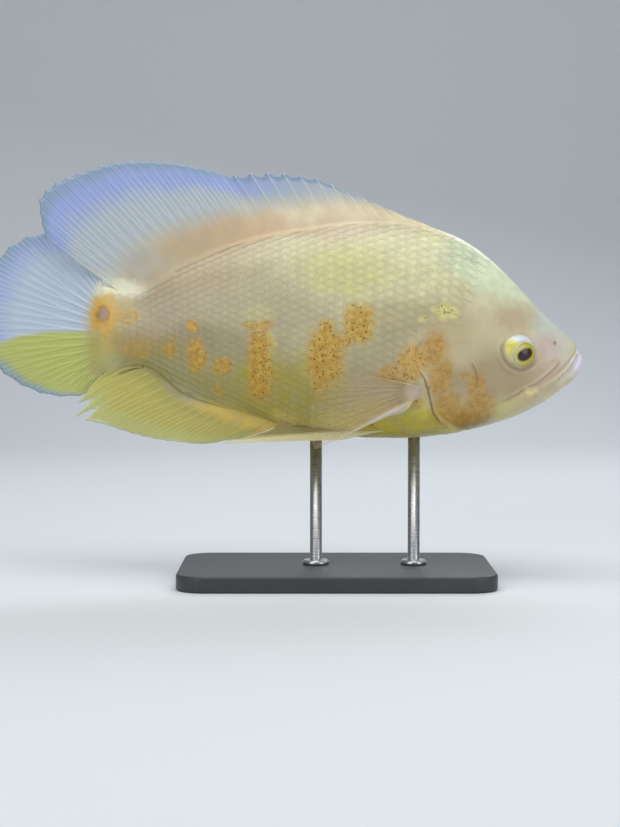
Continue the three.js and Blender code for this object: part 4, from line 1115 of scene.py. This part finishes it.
# The dark olive of the pelvic web is partly its own colour and partly painted shade between fin and belly.
cream_fin = fin_material(
    "pelvic fin web", web=rgb(148, 138, 84), ray=rgb(180, 170, 118),
    band={"tint": rgb(220, 212, 168), "from": EVERYWHERE, "across": (0.42, 0.2)},
    rim={"tint": rgb(214, 208, 170), "from": (0.95, 1.0)}, clear=(0.05, 0.2),
)


def paired_rays(side, root, tips, bow, kind):
    """Rays of one side's fin, with roots spaced evenly on a line, one for each tip."""
    start, end = (Vector((x, side * y, z)) for x, y, z in root)
    out = Vector((0, side, 0))
    shares = [k / (len(tips) - 1) for k in range(len(tips))]
    return [bent_ray(start.lerp(end, share), tip, bow, kind, out) for share, tip in zip(shares, tips)]


for name, side in (("left", 1), ("right", -1)):
    tip_at = evened([(x, side * y, z) for x, y, z in PECTORAL_TIPS])
    tips = [tip_at(k / (PECTORAL_RAYS - 1)) for k in range(PECTORAL_RAYS)]
    rays = paired_rays(side, PECTORAL_ROOT, tips, PECTORAL_BOW, THIN_RAY)
    bm = web_mesh(rays, {"half": 1.5, "high": 12, "scaled": (8, 7), "foot": 9}, wave=0.5)
    finished(f"pectoral_fin_web_{name}", bm, beige_fin, nodes=(f"pectoral_fin_{name}",))

    tips = [Vector((x, side * y, z)) for x, y, z in PELVIC_TIPS]
    rays = paired_rays(side, PELVIC_ROOT, tips, PELVIC_BOW, SOFT_RAY)
    bm = web_mesh(rays, {"half": 1.1, "high": 11, "scaled": (6, 6)}, wave=0.2)
    finished(f"pelvic_fin_web_{name}", bm, cream_fin, nodes=(f"pelvic_fin_{name}",))

# The eyes
# A wet, domed eyeball fills each socket. A bright yellow iris, turned a little forward, rings a dark pupil,
# and pearly white shows round it, yellow above and behind.
EYE_RISE = 3.9
EYE_BALL = (EYE_RIM**2 + EYE_RISE**2) / (2 * EYE_RISE)
EYE_CUT = 3.5  # how deep in the socket the ball ends
GAZE_WAY = Vector((0.38, 0.92, -0.03)).normalized()
IRIS_RADIUS = 6.1
FAR_SIDE = 3  # where the back of the ball counts as lying, in radii of the iris
PUPIL_TILT = 0.45  # the oval pupil's long axis points up and forward
IRIS_SWELL, IRIS_GROOVE = (0.2, 0.78, 0.2), (-0.2, 1.03, 0.06)  # height, place and spread, in radii

eye_material, tree, shader = new_material(
    "oscar eye", Roughness=0.25, IOR=1.38, Coat_Weight=0.35, Coat_Roughness=0.06,
)
ring = attribute(tree, "ring")
streaks = cloud(tree, attribute(tree, "spoke", "Vector"), 9.0, 3.0)
uneven = sum_of(tree, "MULTIPLY_ADD", streaks, 0.1, sum_of(tree, "SUBTRACT", ring, 0.05))
ramp = node(tree, "ShaderNodeValToRGB", {"Fac": times(tree, uneven, 0.5)})
iris_colours = ramp.color_ramp.elements
iris_colours[0].color = rgb(44, 26, 30)
iris_colours[-1].color = rgb(204, 206, 196)
for at, tint in (
    (0.235, rgb(54, 30, 30)), (0.26, rgb(84, 68, 22)), (0.29, rgb(156, 146, 46)),
    (0.36, rgb(190, 178, 60)), (0.44, rgb(184, 170, 52)), (0.485, rgb(172, 160, 64)),
    (0.52, rgb(190, 184, 140)), (0.6, rgb(204, 200, 180)),
):
    iris_colours.new(at).color = tint
place = object_place(tree)
off_iris = ranged(tree, ring, 0.96, 1.12)
off_pupil = ranged(tree, ring, 0.56, 0.7)
wave = node(tree, "ShaderNodeTexWave", {"Vector": place, "Scale": 210.0, "Distortion": 9.0}).outputs[0]
arcs = times(tree, ranged(tree, wave, 0.4, 0.8), 0.3)
rear_tint = blend(tree, arcs, rgb(206, 198, 150), rgb(150, 140, 96))
colour = ramp.outputs[0]
for x, z, long, high, tilt, soft, mask, strength, tint in (
    (86.5, 113.5, 5.5, 6, 0, 0.9, off_pupil, 0.8, rear_tint),
    (84, 119.8, 5.5, 6.5, 0, 0.9, off_iris, 0.95, rgb(206, 200, 84)),
    (91.5, 123, 8, 4, 10, 0.7, off_iris, 0.95, rgb(206, 216, 222)),
    (89, 107.6, 7, 2.6, 0, 0.8, off_iris, 0.7, rgb(178, 160, 136)),
):
    cover = times(tree, covered(tree, place, x, z, long, high, tilt, soft), mask)
    colour = tinted(tree, colour, cover, strength, tint)
specks = ranged(tree, cloud(tree, place, 900.0, 3.0), 0.56, 0.66)
upper_rim = times(tree, covered(tree, place, x=90, z=118.4, long=6, high=2.0, tilt=0, soft=0.7), specks)
colour = tinted(tree, colour, upper_rim, 0.5, rgb(104, 94, 50))
body = node(tree, "ShaderNodeGroup", node_tree=ground).outputs["Colour"]
colour = tinted(tree, colour, attribute(tree, "edge"), 0.75, body)
tree.links.new(colour, shader.inputs["Base Color"])

for name, side in (("left", 1), ("right", -1)):
    socket, gaze = (Vector((way.x, side * way.y, way.z)) for way in (SOCKET_WAY, GAZE_WAY))
    rim_centre = Vector((EYE_AT.x, side * EYE_AT.y, EYE_AT.z))
    turn = Vector((0, 0, 1)).rotation_difference(gaze).to_matrix()
    bm = bmesh.new()
    ring_layer = bm.verts.layers.float.new("ring")
    spoke_layer = bm.verts.layers.float_vector.new("spoke")
    edge_layer = bm.verts.layers.float.new("edge")
    bmesh.ops.create_uvsphere(bm, u_segments=72, v_segments=90, radius=EYE_BALL)
    for v in bm.verts:
        across = turn @ Vector((v.co.x, v.co.y, 0))
        ring_share = across.length / IRIS_RADIUS if v.co.z > 0 else FAR_SIDE
        angle = math.atan2(across.z, across.x)
        oval = 1 - 0.2 * math.cos(2 * (angle - PUPIL_TILT)) * (1 - smooth(0.6, 1, ring_share))
        v[ring_layer] = ring_share * oval
        v[spoke_layer] = across.normalized() if across.length > 0 else Vector()
        swell = hump(ring_share, *IRIS_SWELL) + hump(ring_share, *IRIS_GROOVE)
        v.co = turn @ (v.co * (1 + swell / EYE_BALL))
    bmesh.ops.translate(bm, vec=rim_centre + socket * (EYE_RISE - EYE_BALL), verts=bm.verts)
    for v in bm.verts:
        off = v.co - rim_centre
        v[edge_layer] = smooth(7, 8.4, (off - socket * off.dot(socket)).length)
    everything = bm.verts[:] + bm.edges[:] + bm.faces[:]
    bmesh.ops.bisect_plane(
        bm, geom=everything, plane_co=rim_centre - socket * EYE_CUT, plane_no=-socket, clear_outer=True,
    )
    close_holes(bm)
    bmesh.ops.scale(bm, vec=(MM, MM, MM), verts=bm.verts)
    turned_out(bm)
    finished(f"eyeball_{name}", bm, eye_material, nodes=(f"eye_{name}",))

# The stand
# A heavy base plate with round corners and a small bevel, in charcoal powder coat, carries two turned steel
# rods. Each rod stands in a collar and ends under the belly.
BASE_LONG, BASE_WIDE, BASE_THICK = 156, 92, 8
BASE_CORNER, BASE_BEVEL = 14, 1.2
ROD_RADIUS, COLLAR_RADIUS, COLLAR_HIGH = 3, 6.5, 2.4
ROD_AT = {"front": 39, "rear": -10}
ROD_SUNK = 1.5  # how far a rod's top runs into the belly

bm = bmesh.new()
bmesh.ops.create_cube(bm, size=1)
bmesh.ops.scale(bm, vec=(BASE_LONG * MM, BASE_WIDE * MM, BASE_THICK * MM), verts=bm.verts)
bmesh.ops.translate(bm, vec=(0, 0, BASE_THICK * MM / 2), verts=bm.verts)
upright = [e for e in bm.edges if abs(e.verts[0].co.z - e.verts[1].co.z) > MM]
bmesh.ops.bevel(
    bm, geom=upright, offset=BASE_CORNER * MM, segments=14, profile=0.5, affect="EDGES", material=-1,
)
rims = [e for e in bm.edges if e.calc_face_angle(0) > 1.2]
bmesh.ops.bevel(bm, geom=rims, offset=BASE_BEVEL * MM, segments=4, profile=0.5, affect="EDGES", material=-1)
bmesh.ops.recalc_face_normals(bm, faces=bm.faces)
for face in bm.faces:
    face.smooth = face.calc_area() < 2e-4

coat, tree, shader = new_material("charcoal powder coat")
dust = cloud(tree, object_place(tree), 24.0, 5.0)
dusty = blend(tree, ranged(tree, dust, 0.4, 0.8, 0.0, 0.3), rgb(52, 55, 59), rgb(78, 80, 82))
tree.links.new(dusty, shader.inputs["Base Color"])
add_grain(tree, shader, scale=1400.0, smoothest=0.4, roughest=0.55, depth=0.0002)
finished("stand_base_plate", bm, coat, nodes=("stand_base",))

steel, tree, shader = new_material("turned steel", Metallic=1.0, Base_Color=rgb(188, 190, 193))
values = {"Vector": object_place(tree), "Scale": (60, 60, 5200)}
stretched = node(tree, "ShaderNodeMapping", values).outputs[0]
turning = cloud(tree, stretched, 1.0, 3.0)
tree.links.new(ranged(tree, turning, 0.3, 0.7, 0.24, 0.4), shader.inputs["Roughness"])
bump = node(tree, "ShaderNodeBump", {"Height": turning, "Strength": 0.25, "Distance": 0.00005})
tree.links.new(bump.outputs[0], shader.inputs["Normal"])
for name, x in ROD_AT.items():
    top, seat, collar_top = height_at(x, "belly") + ROD_SUNK, BASE_THICK, BASE_THICK + COLLAR_HIGH
    profile = [
        (0, seat - 1), (COLLAR_RADIUS - 0.3, seat - 1), (COLLAR_RADIUS - 0.3, seat),
        (COLLAR_RADIUS, seat + 0.3), (COLLAR_RADIUS, collar_top - 0.7), (COLLAR_RADIUS - 0.7, collar_top),
        (ROD_RADIUS + 0.25, collar_top), (ROD_RADIUS, collar_top + 0.25), (ROD_RADIUS, top), (0, top),
    ]
    bm = bmesh.new()
    verts = [bm.verts.new((r * MM, 0, z * MM)) for r, z in profile]
    edges = [bm.edges.new(pair) for pair in zip(verts, verts[1:])]
    bmesh.ops.spin(
        bm, geom=verts + edges, cent=(0, 0, 0), axis=(0, 0, 1), angle=math.tau, steps=48, use_merge=True,
    )
    bmesh.ops.remove_doubles(bm, verts=bm.verts, dist=1e-6)
    bmesh.ops.recalc_face_normals(bm, faces=bm.faces)
    bmesh.ops.translate(bm, vec=(x * MM, 0, 0), verts=bm.verts)
    for face in bm.faces:
        face.smooth = abs(face.normal.z) < 0.5
    finished(f"stand_rod_{name}_steel", bm, steel, nodes=(f"stand_rod_{name}",))

# The studio
# A pale floor sweeps up into a pale backdrop. A broad soft light hangs above, with weaker ones to the left
# and right in front and one behind. The sizes are in metres.
FLOOR_NEAR, FLOOR_FAR, FLOOR_WIDE, SWEEP_RADIUS, WALL_HIGH = -7, 0.9, 16, 0.7, 3.0
bm = bmesh.new()
bmesh.ops.create_grid(bm, x_segments=2, y_segments=160, size=0.5)
sweep = math.pi / 2 * SWEEP_RADIUS
total = FLOOR_FAR - FLOOR_NEAR + sweep + WALL_HIGH
for v in bm.verts:
    run = (v.co.y + 0.5) * total - (FLOOR_FAR - FLOOR_NEAR)
    bend = clamp(run / SWEEP_RADIUS, 0, math.pi / 2)
    y = FLOOR_FAR + min(run, 0) + SWEEP_RADIUS * math.sin(bend)
    z = SWEEP_RADIUS * (1 - math.cos(bend)) + max(run - sweep, 0)
    v.co = (v.co.x * FLOOR_WIDE, y, z)
for face in bm.faces:
    face.smooth = True
mesh = bpy.data.meshes.new("studio_sweep")
bm.to_mesh(mesh)
bm.free()
mesh.materials.append(new_material("pale studio paper", Base_Color=rgb(214, 219, 223), Roughness=0.85)[0])
placed("studio_sweep", mesh)

LIGHTS = {
    # name: place, size, watts, colour
    "light_above": ((-0.1, -0.35, 1.25), (1.3, 0.9), 12, (1.0, 0.985, 0.96)),
    "light_front_left": ((-0.9, -1.2, 0.55), (0.8, 0.8), 5.5, (0.97, 0.985, 1.0)),
    "light_front_right": ((1.1, -0.9, 0.5), (0.7, 0.9), 5, (1.0, 0.99, 0.97)),
    "light_behind": ((0.3, 0.85, 0.9), (0.9, 0.5), 5.5, (0.95, 0.975, 1.0)),
}
AIM = Vector((-0.013, 0, 0.125))
for name, (place, size, watts, tint) in LIGHTS.items():
    light = bpy.data.lights.new(name, "AREA")
    light.shape = "RECTANGLE"
    light.size, light.size_y = size
    light.energy, light.color = watts, tint
    lamp = placed(name, light)
    lamp.location = place
    lamp.rotation_euler = (AIM - lamp.location).to_track_quat("-Z", "Y").to_euler()
world = bpy.data.worlds.new("soft studio")
world.use_nodes = True
background = world.node_tree.nodes["Background"].inputs
background["Color"].default_value = (0.82, 0.88, 0.95, 1)
background["Strength"].default_value = 0.24
bpy.context.scene.world = world
bpy.context.scene.view_settings.view_transform = "Standard"

# The camera stands level with the fish, square to its right side, as the photograph was taken.
CAMERA_AWAY = 900.0
CAMERA_RAISED = math.radians(3)
CAMERA_AIM = (-13, 0, 83.75)
MM_PER_FRAME_HEIGHT = 413.5
SENSOR_HEIGHT = 36
lens = bpy.data.cameras.new("camera")
lens.sensor_fit = "VERTICAL"
lens.sensor_height = SENSOR_HEIGHT
lens.lens = SENSOR_HEIGHT * CAMERA_AWAY / MM_PER_FRAME_HEIGHT
camera = placed("camera", lens)
away = Vector((0, -math.cos(CAMERA_RAISED), math.sin(CAMERA_RAISED))) * CAMERA_AWAY
camera.location = (Vector(CAMERA_AIM) + away) * MM
camera.rotation_euler = (-away).to_track_quat("-Z", "Y").to_euler()
bpy.context.scene.camera = camera
